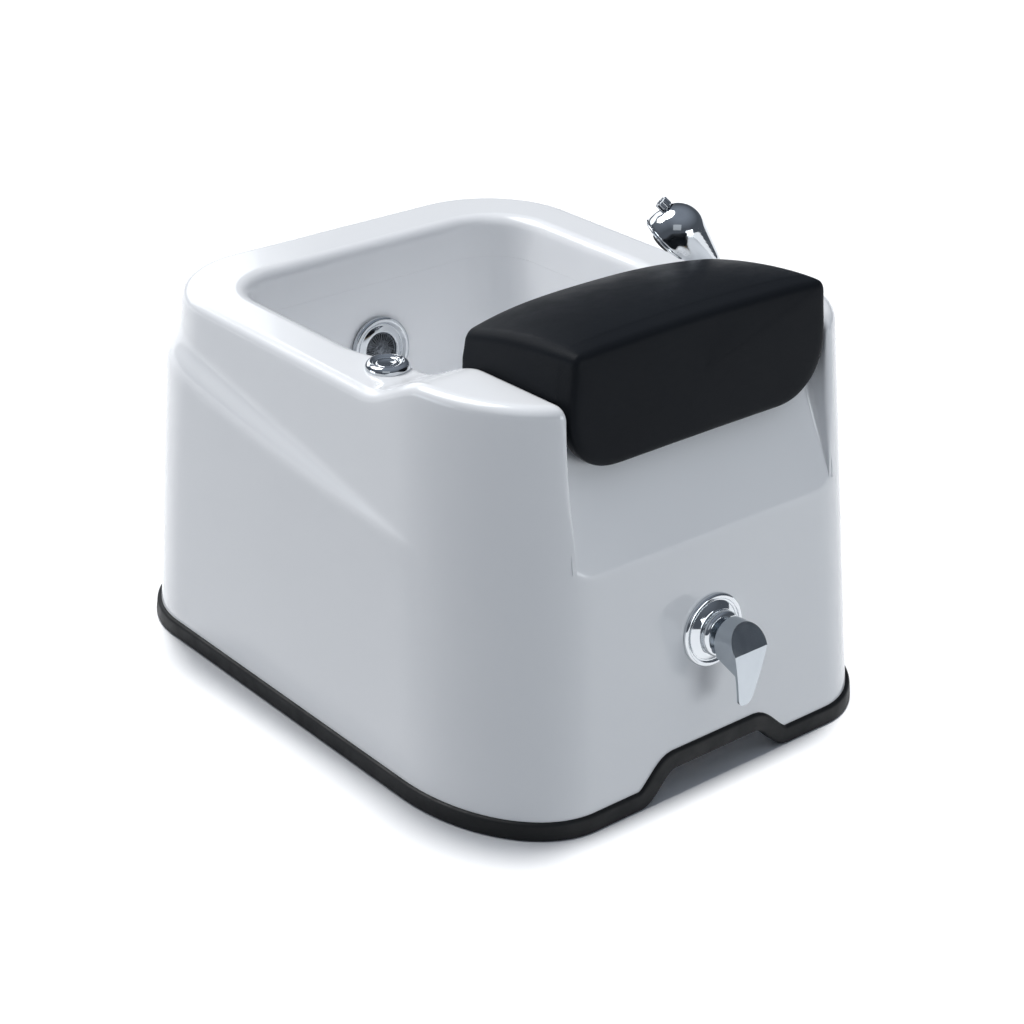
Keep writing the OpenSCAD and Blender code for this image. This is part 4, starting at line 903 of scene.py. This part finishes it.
def puffPad(cushion):
    # the cover is filled under pressure, while its bottom and its seat between the cheeks stay put
    fill = {"quality": 6, "mass": 0.3, "tension_stiffness": 25, "compression_stiffness": 25,
            "shear_stiffness": 10, "bending_stiffness": 4, "use_pressure": True, "uniform_pressure_force": 4,
            "vertex_group_mass": "held"}
    start = [v.co.copy() for v in cushion.data.vertices]
    held = cushion.vertex_groups.new(name="held")
    highest, foremost = (pad["under"] + pad["heldHeight"]) * mm, (padFrontY + pad["heldBack"]) * mm
    held.add([v.index for v in cushion.data.vertices if v.co.z < highest and v.co.y > foremost], 1.0, "ADD")
    cloth = cushion.modifiers.new("fill", "CLOTH")
    for setting, value in fill.items():
        setattr(cloth.settings, setting, value)
    cloth.settings.effector_weights.gravity = 0
    cloth.point_cache.frame_start = 1
    cloth.point_cache.frame_end = pad["frames"]
    scene = bpy.context.scene
    for step in range(1, pad["frames"] + 1):
        scene.frame_set(step)
    applyAll(cushion)
    scene.frame_set(1)
    # how far each point moved is capped, then evened out over its neighbours, so the skin has no creases
    limit, widest = pad["cap"] * mm, padHalf * mm
    moves = [vertex.co - rest for vertex, rest in zip(cushion.data.vertices, start)]
    moves = [move * min(1.0, limit / max(move.length, 1e-9)) for move in moves]
    around = [[] for _ in moves]
    for edge in cushion.data.edges:
        a, b = edge.vertices
        around[a].append(b)
        around[b].append(a)
    for step in range(pad["evening"]):
        moves = [move.lerp(sum((moves[k] for k in near), Vector()) / len(near), 0.6)
                 for move, near in zip(moves, around)]
    for vertex, rest, move in zip(cushion.data.vertices, start, moves):
        vertex.co = rest + move
        vertex.co.x = min(widest, max(-widest, vertex.co.x))


cushion = makePad()
puffPad(cushion)
relax = cushion.modifiers.new("relax", "SMOOTH")
relax.factor = 0.5
relax.iterations = 4
finer = cushion.modifiers.new("finer", "SUBSURF")
finer.levels = finer.render_levels = 1
applyAll(cushion)
softShade(cushion, 60)
handOver(cushion, coverSkin, "footrest", "pad_cover", "footrest_pad")


# ---- mixer: cover plate, bonnet and lever
def makeMixer():
    mixer = {"plate": 40, "sleeve": 17.5, "bonnet": 25, "hub": 23, "hubBack": 28, "reach": 58, "drop": 70,
             "tip": 10, "brow": 5, "browDepth": 14, "neck": 13, "blade": 4, "sweep": 10, "socket": 10,
             "socketDeep": 13, "pivotUp": 4, "pivot": 1.5, "pivotHalf": 14}
    r = mixer["plate"]
    outline = [(r - 2.5, 0), (r, 0), (r, 2)] + arc(r - 3.2, 2, 3.2, 3.2, 20, 80, 3)
    outline += [(r - 5, 4.6), (r - 6, 3.4), (r - 7.5, 3), (r - 14, 8.4), (r - 16, 9),
                (mixer["sleeve"] + 1, 9), (mixer["sleeve"] + 1, 7), (r - 14, 6.2), (r - 9, 1.6)]
    plate = turnedPiece("mixerPlate", outline, mixerPlace, edge=0.25)
    handOver(plate, chromePlate, "tub", "chrome", "mixer_plate")

    b = mixer["bonnet"]
    outline = [(mixer["sleeve"] + 0.1, 9.2), (b - 0.8, 9.2), (b, 10), (b, 14.5)]
    outline += arc(b - 6, 14.5, 6, 5, 20, 80, 3)
    outline += [(14, 21.6), (9.5, 23.4), (7, 24), (7, 21), (mixer["sleeve"] + 0.1, 17)]
    bonnet = turnedPiece("mixerBonnet", outline, mixerPlace, edge=0.2)
    handOver(bonnet, chromePlate, "tub", "chrome", "mixer_bonnet")

    hub, drop, tip, reach = mixer["hub"], mixer["drop"], mixer["tip"], mixer["reach"]
    below = drop - tip
    lean = math.degrees(math.asin((hub - tip) / below))
    # the front view: a round hub that runs down to a small round tip
    leaf = arc(0, 0, hub, hub, -lean, 180 + lean, 48) + arc(0, -below, tip, tip, 180 + lean, 360 - lean, 16)
    lever = meshPiece("mixerLever", [(x, y, mixer["hubBack"]) for x, y in leaf], [tuple(range(len(leaf)))])
    editAll(lever)
    bpy.ops.mesh.extrude_region_move(TRANSFORM_OT_translate={"value": (0, 0, 60 * mm)})
    bpy.ops.object.mode_set(mode="OBJECT")
    closeSeams(lever, 0.01)
    # the side view: slanted brow, hollowed neck under the hub and a thin blade
    side = [(hub + 1, mixer["hubBack"] - 1), (hub + 1, reach - mixer["browDepth"]), (-mixer["brow"], reach)]
    front, back = [], []
    for t in between(0, 1, 8):
        y, z = mix(-mixer["brow"], -drop - 1, t), reach - mixer["sweep"] * t ** 1.4
        front.append((y, z))
        back.append((y, z - mix(mixer["neck"], mixer["blade"] - 1, smooth(t * 2.2))))
    neck = [(-hub + 5, mixer["hubBack"] + 4), (-hub + 6, mixer["hubBack"] - 1)]
    back = [p for p in back if p[0] < -hub - 1]
    profile = side + front + back[::-1] + neck
    wide = hub + 2
    points = [(x, y, z) for x in (-wide, wide) for y, z in profile]
    cutter = meshPiece("leverSide", points, ringFaces(len(profile), 2))
    closeSeams(cutter, 0.01)
    carve(lever, cutter, "INTERSECT")
    # the stem's socket, and the hole for the pivot pin across it
    hubBack = mixer["hubBack"]
    carve(lever, rod(mixer["socket"], hubBack - 1, hubBack + mixer["socketDeep"], Matrix.Identity(4)))
    pivotUp = Matrix.Translation((0, 0, (hubBack + mixer["pivotUp"]) * mm))
    across = pivotUp @ Matrix.Rotation(math.pi / 2, 4, "Y")
    carve(lever, rod(mixer["pivot"] + 0.05, -mixer["pivotHalf"], mixer["pivotHalf"], across, 32))
    roundEdges(lever, 0.6, 3, 20)
    lever.data.transform(mixerPlace)
    softShade(lever, 9)  # its faces stay flat up to their edges
    handOver(lever, softChrome, "mixer_handle", "chrome", "mixer_lever")


# ---- water jet: beaded ring and finned strainer
def makeJet():
    jet = {"ring": 40, "thread": 26, "strainer": 21, "fins": 36, "finThick": 0.9, "seat": 0.3}
    r, inner = jet["ring"], jet["strainer"] + jet["seat"]
    outline = [(inner, -1), (jet["thread"] - 3.05, -1), (jet["thread"] - 3.05, 1.5), (r - 0.5, 1.5), (r, 2.2)]
    outline += arc(r - 4, 4, 4, 4, 0, 135, 9)
    outline += [(r - 8.5, 5), (r - 9.5, 4.2), (r - 11, 4.6), (inner + 4, 6.2), (inner + 1.5, 6.4),
                (inner, 5.4)]
    ring = turnedPiece("jetRing", outline, jetPlace, edge=0.2)
    handOver(ring, chromePlate, "tub", "chrome", "jet_ring")

    s = jet["strainer"]
    outline = [(0, -1), (s, -1), (s, 3.4), (s - 1.2, 3.8), (s - 2, 3.0), (s - 2, 0.2), (6, 0.2), (6, 4.2),
               (4.5, 5), (2, 5.3), (0, 5.3)]
    back = turnedPiece("jetStrainer", outline, jetPlace, edge=0.15)
    # one fin, its side view given thickness, and then a ring of them
    half = jet["finThick"] / 2
    side = [(5.5, 0), (s - 1.5, 0), (s - 1.5, 3), (12, 4.1), (5.5, 4.4)]
    fin = meshPiece("fin", [(x, y, z) for y in (-half, half) for x, z in side], ringFaces(len(side), 2))
    closeSeams(fin, 0.01)
    turns = [Matrix.Rotation(2 * math.pi * i / jet["fins"], 4, "Z") for i in range(jet["fins"])]
    joinTo(back, copiesOf(fin, [jetPlace @ turn for turn in turns]))
    softShade(back, 35)
    handOver(back, satinChrome, "tub", "chrome", "jet_strainer")


# ---- air button
def makeAirButton():
    button = {"bezel": 23.5, "height": 8, "cap": 12.5, "shank": 15.5, "shankLength": 26, "capUnder": 8}
    r, h, inner = button["bezel"], button["height"], button["cap"] + 0.15
    outline = [(inner, 9 - button["shankLength"]), (inner, h - 2.2), (inner + 1, h - 1.6),
               (inner + 2.6, h - 1.4), (inner + 3.2, h - 2.2), (inner + 4, h - 1.2)]
    outline += arc(r - 6, 0.8, 6, h - 0.8, 90, 0, 9)
    outline += [(r, 0), (button["shank"], 0), (button["shank"], -button["shankLength"]),
                (inner, -button["shankLength"])]
    bezel = turnedPiece("airButtonBezel", outline, buttonPlace, edge=0.15)
    handOver(bezel, chromePlate, "tub", "chrome", "air_button_bezel")
    c = button["cap"]
    outline = [(0, -button["capUnder"]), (c, -button["capUnder"])] + arc(c - 2, h - 3.2, 2, 1.3, 0, 90, 4)
    outline += [(c - 4, h - 1.9), (c - 5, h - 2.3), (c - 6, h - 2.5), (4, h - 2.8), (0, h - 2.9)]
    cap = turnedPiece("airButtonCap", outline, buttonPlace, edge=0.15)
    handOver(cap, chromePlate, "air_cap", "chrome", "air_button_cap")


# ---- hand shower
def makeShower():
    shower = {"bore": 15, "handle": 17, "face": 29, "faceOut": 47, "faceUp": 46, "turn": 141, "tilt": 45,
              "plug": 22, "buttonRadius": 7.5, "flutes": 9, "fluteDeep": 0.7, "buttonIn": 25.5,
              "buttonBack": 28, "push": 3, "seat": 0.3, "headIn": 15, "headOver": 12, "melt": 0.9,
              "flow": 110}
    r, bore, face, plug = fittings["collarRadius"], shower["bore"], shower["face"], shower["plug"]
    outline = [(bore, -28), (bore + 3, -28), (bore + 3, 0), (r - 0.4, 0), (r, 0.5)]
    outline += arc(bore + 4, 1.5, r - bore - 4, 4.7, 0, 90, 8)
    outline += [(bore + 2.5, 6.4), (bore + 1, 6.1), (bore, 5)]
    collar = turnedPiece("showerCollar", outline, collarPlace, edge=0.2)
    handOver(collar, chromePlate, "tub", "chrome", "shower_collar")

    aim = collarPlace @ Matrix.Rotation(math.radians(shower["turn"]), 4, "Z")
    facePlace = (aim @ Matrix.Translation(Vector((shower["faceOut"], 0, shower["faceUp"])) * mm)
                 @ Matrix.Rotation(math.radians(90 + shower["tilt"]), 4, "Y"))
    # handle and ball-shaped head drawn over one another, then melted into one casting
    headOut, headUp = shower["faceOut"] - shower["headIn"], shower["faceUp"] + shower["headOver"]
    headRadius = face + 1
    circle = arc(0, 0, 1, 1, 0, 360, 96)[:-1]
    grip = shower["handle"] - 1
    hull = [(grip * c, grip * s, z) for c, s in circle for z in (20, 25)]
    for wide, z in arc(0, headUp, headRadius, headRadius, 90, -90, 48)[1:-1]:
        hull += [(headOut + wide * c, wide * s, z) for c, s in circle]
    body = meshPiece("showerBody", hull, [])
    editAll(body)
    bpy.ops.mesh.convex_hull()
    bpy.ops.object.mode_set(mode="OBJECT")
    body.data.transform(aim)
    for radius, low, high, place in ((shower["handle"], 14, 22, aim), (face, -16, -1.5, facePlace)):
        carve(body, rod(radius, low, high, place, 96), "UNION")
    remesh = body.modifiers.new("melt", "REMESH")
    remesh.mode = "VOXEL"
    remesh.voxel_size = shower["melt"] * mm
    flow = body.modifiers.new("flow", "SMOOTH")
    flow.factor = 0.5
    flow.iterations = shower["flow"]
    applyAll(body)
    carve(body, rod(2 * face, -3, 2 * face, facePlace))
    carve(body, rod(face - 4, -8, 12, facePlace, 96))
    press = facePlace @ Matrix.Translation((-shower["buttonIn"] * mm, 0, -shower["buttonBack"] * mm))
    press = press @ Matrix.Rotation(-math.pi / 2, 4, "Y")
    carve(body, rod(shower["buttonRadius"] + shower["seat"], -shower["push"] - shower["seat"], face, press))
    outline = [(0, -plug), (bore - 1.3, -plug), (bore - 0.3, 1 - plug), (bore - 0.3, 6.9), (bore + 1, 6.9),
               (bore + 1.4, 7.6), (bore + 1.6, 11), (shower["handle"] - 0.2, 16), (0, 16)]
    foot = turnedPiece("showerFoot", outline, aim, edge=0.2)
    carve(body, foot, "UNION")
    softShade(body, 32)
    handOver(body, chromePlate, "shower_head", "chrome", "shower_body")

    outline = [(face - 6, -2.7), (face - 0.2, -2.7), (face + 0.2, -2), (face, -1), (face - 1, -0.2),
               (face - 2.5, 0.1), (face - 5, -0.4), (face - 6, -1)]
    ring = turnedPiece("showerFaceRing", outline, facePlace, edge=0.15)
    handOver(ring, chromePlate, "shower_head", "chrome", "shower_face_ring")

    outline = [(0, -7.7), (face - 4.5, -7.7), (face - 4.5, -3), (face - 6.4, -3), (face - 6.4, -0.9),
               (face - 8, -0.4), (13.5, -0.6), (12.5, 0.2), (12.2, 4.6), (11.4, 5.8), (10, 6), (9.2, 5.2),
               (8.6, 4.6), (0, 4.6)]
    nozzle = turnedPiece("showerNozzle", outline, facePlace, edge=0.2)
    outline = [(0, 4), (1.0, 4), (0.9, 5.4), (0.6, 5.8), (0.35, 5.8), (0.3, 5.0), (0, 5.0)]
    teat = turnedPiece("teat", outline, Matrix.Identity(4), edge=0, steps=12)
    # teats in rings: (how many, the ring's radius)
    rings = [(1, 0), (6, 3.4), (12, 6.6)]
    spots = [p for count, radius in rings for p in arc(0, 0, radius, radius, 0, 360, count)[:-1]]
    joinTo(nozzle, copiesOf(teat, [facePlace @ Matrix.Translation((x * mm, y * mm, 0)) for x, y in spots]))
    softShade(nozzle, 35)
    handOver(nozzle, blackPolyamide, "shower_head", "black_plastic", "shower_nozzle")

    # knurled button: a fluted disc raised in steps
    rim, deep = [], shower["fluteDeep"]
    for i in range(180):
        a = 2 * math.pi * i / 180
        reach = shower["buttonRadius"] - deep + deep * math.cos(shower["flutes"] * a)
        rim.append((reach * math.cos(a), reach * math.sin(a), 0))
    knob = meshPiece("showerButton", rim, [tuple(range(len(rim)))])
    editAll(knob)
    for rise, scale in ((9, 1.0), (0.7, 0.95), (0.3, 0.86), (0, 0.62), (-0.7, 0.92), (0, 0.4)):
        bpy.ops.mesh.extrude_region_move(TRANSFORM_OT_translate={"value": (0, 0, rise * mm)})
        bpy.ops.transform.resize(value=(scale, scale, 1), center_override=(0, 0, 0))
    bpy.ops.object.mode_set(mode="OBJECT")
    closeSeams(knob, 0.005)
    knob.data.transform(press)
    softShade(knob, 35)
    handOver(knob, chromePlate, "shower_press", "chrome", "shower_button")


makeMixer()
makeJet()
makeAirButton()
makeShower()


# ---- shower hose, ribbed like interlocked steel strip
def bendAt(points, i, t):
    a, b, c, d = (Vector(points[k]) for k in (max(i - 1, 0), i, i + 1, min(i + 2, len(points) - 1)))
    squared, cubed = 2 * a - 5 * b + 4 * c - d, 3 * b - a - 3 * c + d
    return 0.5 * (2 * b + (c - a) * t + squared * t * t + cubed * t ** 3)


def smoothRoute(points, steps=24):
    line = [bendAt(points, i, s / steps) for i in range(len(points) - 1) for s in range(steps)]
    return line + [Vector(points[-1])]


def ribbedTube(name, route, radius, pitch, depth, sides=20):
    # rings at equal spacing along the route, sunk between the ribs
    lengths = [0.0]
    for a, b in zip(route, route[1:]):
        lengths.append(lengths[-1] + (b - a).length)
    steps = max(8, int(lengths[-1] / pitch * 4))
    points, k = [], 0
    ring = arc(0, 0, 1, 1, 0, 360, sides)[:-1]
    sunk = [0, 0.35 * depth, depth, 0.35 * depth]
    side = Vector((0.3, 0.5, 0.8))
    for n in range(steps + 1):
        want = lengths[-1] * n / steps
        while k < len(route) - 2 and lengths[k + 1] < want:
            k += 1
        t = (want - lengths[k]) / max(1e-9, lengths[k + 1] - lengths[k])
        centre = route[k].lerp(route[k + 1], t)
        along = (route[k + 1] - route[k]).normalized()
        side = (side - along * side.dot(along)).normalized()
        other = along.cross(side)
        r = radius - sunk[n % 4]
        points += [tuple(centre + r * (c * side + s * other)) for c, s in ring]
    tube = meshPiece(name, points, ringFaces(sides, steps + 1))
    closeSeams(tube, 0.001)
    softShade(tube, 60)
    return tube


def makeHose():
    hose = {"radius": 7, "pitch": 3.2, "depth": 0.7, "riser": 170, "plug": 22, "outletIn": 40, "outletUp": 36,
            "straight": 14, "gap": 0.3}
    tilt = math.radians(frontTilt)
    inward, up = Vector((0, math.cos(tilt), -math.sin(tilt))), Vector((0, math.sin(tilt), math.cos(tilt)))
    start = Vector((0, frontAt(mixerHeight), mixerHeight)) + hose["outletIn"] * inward + hose["outletUp"] * up
    x, y, z = (c * 1000 for c in collarPlace.translation)
    bottom = z - hose["riser"]
    points = [start + hose["straight"] * up, (26, -280, 244), (80, -262, 238), (150, -238, 190),
              (212, -200, 130), (226, -140, 104), (x + 4, y - 8, 150), (x, y, bottom - 60)]
    route = [start] + smoothRoute(points) + [Vector((x, y, bottom - hose["gap"]))]
    loop = ribbedTube("showerHoseLoop", route, hose["radius"], hose["pitch"], hose["depth"])
    handOver(loop, chromePlate, "tub", "steel", "shower_hose_loop")
    rise = [Vector((x, y, bottom)), Vector((x, y, z - hose["plug"] - hose["gap"]))]
    riser = ribbedTube("showerHoseRiser", rise, hose["radius"], hose["pitch"], hose["depth"])
    handOver(riser, chromePlate, "shower_riser", "steel", "shower_hose_riser")


makeHose()

# ---- parts out of sight keep the CAD shape and get their own finish
nodeFinishes = {
    softRubber: ("frame_feet", "basin_pads", "waste_gasket", "jet_gasket", "mixer_gasket", "air_bellows"),
    brushedSteel: ("support_frame", "waste_flange", "waste_plug"),
    greyAbs: ("waste_locknut", "waste_tailpipe", "jet_housing", "jet_locknut", "jet_impeller", "control_box",
              "control_lid"),
    blackPolyamide: ("jet_motor", "cable_gland", "motor_cable"),
    zincPlate: ("air_button_locknut", "mixer_locknut", "shower_collar_nut", "mixer_pivot_pin", "board_screws",
                "footrest_pins"),
    castBrass: ("mixer_body", "mixer_stem"),
    whiteAcetal: ("mixer_cartridge", "pin_bushes"),
    clearTube: ("air_tube",),
    birch: ("footrest_board",),
}
# how far their edges are rounded
rounded = {"support_frame": 1.2, "frame_feet": 1.0, "control_box": 1.0, "control_lid": 0.8,
           "footrest_board": 0.8, "basin_pads": 0.6, "waste_locknut": 0.5, "air_button_locknut": 0.5,
           "shower_collar_nut": 0.5, "cable_gland": 0.4, "waste_plug": 0.4, "jet_motor": 0.6,
           "waste_flange": 0.3}
for finish, names in nodeFinishes.items():
    for name in names:
        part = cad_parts[name]
        if not part.material_slots:
            part.data.materials.append(finish)
        for slot in part.material_slots:
            slot.material = finish
        if name in rounded:
            weld = part.modifiers.new("weld", "WELD")
            weld.merge_threshold = 0.02 * mm
            edge = part.modifiers.new("edge", "BEVEL")
            edge.width = rounded[name] * mm
            edge.segments = 2
            edge.limit_method = "ANGLE"
            edge.angle_limit = math.radians(40)
print("finishes given")


# ---- floor, light and camera
def makeStudio():
    studio = {"floor": 30, "paper": "#FAFAFA", "sky": "#BAC4D3", "low": 0.2, "high": 0.55,
              "camera": (-1.49985, -1.8641, 1.350), "tilt": 63.845, "pan": -38.985, "lens": 83.19}
    bpy.ops.object.select_all(action="DESELECT")
    bpy.ops.mesh.primitive_plane_add(size=studio["floor"], location=(0, 0, 0))
    floor = bpy.context.object
    floor.name = "studioFloor"
    paper = bpy.data.materials.new("paperWhiteMatt")  # seamless white paper: no gloss
    paper.use_nodes = True
    shader = paper.node_tree.nodes["Principled BSDF"]
    shader.inputs["Base Color"].default_value = hexColour(studio["paper"])
    shader.inputs["Roughness"].default_value = 0.9
    shader.inputs["Specular IOR Level"].default_value = 0.1
    floor.data.materials.append(paper)
    floor.visible_diffuse = False  # it throws no light up at the tub

    world = bpy.data.worlds.new("studioSky")
    world.use_nodes = True
    sky = world.node_tree.nodes["Background"]
    sky.inputs["Color"].default_value = hexColour(studio["sky"])
    # paler overhead than at the sides
    toSky = addNode(world.node_tree, "ShaderNodeTexCoord").outputs["Generated"]
    height = addNode(world.node_tree, "ShaderNodeSeparateXYZ", None, {"Vector": toSky}).outputs["Z"]
    paler = addNode(world.node_tree, "ShaderNodeMapRange",
                    {"From Min": 0.35, "From Max": 0.9, "To Min": studio["low"], "To Max": studio["high"]},
                    {"Value": height})
    world.node_tree.links.new(paler.outputs[0], sky.inputs["Strength"])
    bpy.context.scene.world = world

    # the paper has its own steep light, so it stays white with a short shadow; the rest light the tub alone
    onFloor, offFloor = bpy.data.collections.new("onFloor"), bpy.data.collections.new("offFloor")
    onFloor.objects.link(floor)
    offFloor.objects.link(floor)
    offFloor.collection_objects[0].light_linking.link_state = "EXCLUDE"
    shade = bpy.data.collections.new("floorShade")  # what throws a shadow on the paper
    for name in ("tubShell", "baseTrim"):
        shade.objects.link(bpy.data.objects[name])

    def hang(name, kind, place, aim, energy, lit):
        data = bpy.data.lights.new(name, kind)
        data.energy = energy
        lamp = bpy.data.objects.new(name, data)
        lamp.location = place
        lamp.rotation_euler = Vector(aim).to_track_quat("-Z", "Y").to_euler()
        lamp.light_linking.receiver_collection = lit
        bpy.context.scene.collection.objects.link(lamp)
        return lamp

    # far lights: (direction, spread in degrees, strength, what they light)
    suns = {"floorRight": ((-0.135, -0.13, -1), 9, 2.9, onFloor),
            "floorBack": ((0.07, -0.16, -1), 11, 0.6, onFloor),
            "key": ((0.34, -0.58, -1), 40, 2.4, offFloor),
            "fill": ((-0.5, 0.3, -1), 70, 0.4, offFloor)}
    for name, (direction, spread, strength, lit) in suns.items():
        lamp = hang(name, "SUN", (0, 0, 0), direction, strength, lit)
        lamp.data.angle = math.radians(spread)
        if lit == onFloor:
            lamp.light_linking.blocker_collection = shade
        lamp.visible_glossy = name == "key"  # only the key shows in the gloss
    # softboxes: (place, aimed at, size, watts, colour)
    boxes = {"left": ((-3.0, 1.2, 0.55), (0, 0, 0.25), (1.6, 0.8), 10, "#EEF6FF"),
             "front": ((0.5, -2.9, 0.6), (0, 0, 0.2), (1.6, 0.9), 21, "#F6FBFF"),
             "back": ((0.2, 3.2, 1.8), (0, 0, 0.4), (3.0, 1.4), 22, "#F9FCFF"),
             "card": ((-2.6, -2.6, 2.6), (0, 0, 0.4), (2.6, 1.8), 6, "#F6FBFF")}
    for name, (place, target, size, watts, colour) in boxes.items():
        lamp = hang(name, "AREA", place, Vector(target) - Vector(place), watts, offFloor)
        lamp.data.shape = "RECTANGLE"
        lamp.data.size, lamp.data.size_y = size
        lamp.data.color = hexColour(colour)[:3]

    camera = bpy.data.objects.new("camera", bpy.data.cameras.new("camera"))
    camera.location = studio["camera"]
    camera.rotation_euler = [math.radians(a) for a in (studio["tilt"], 0, studio["pan"])]
    camera.data.lens = studio["lens"]
    camera.data.sensor_width = 36
    bpy.context.scene.collection.objects.link(camera)
    bpy.context.scene.camera = camera
    bpy.context.scene.view_settings.view_transform = "Standard"


makeStudio()
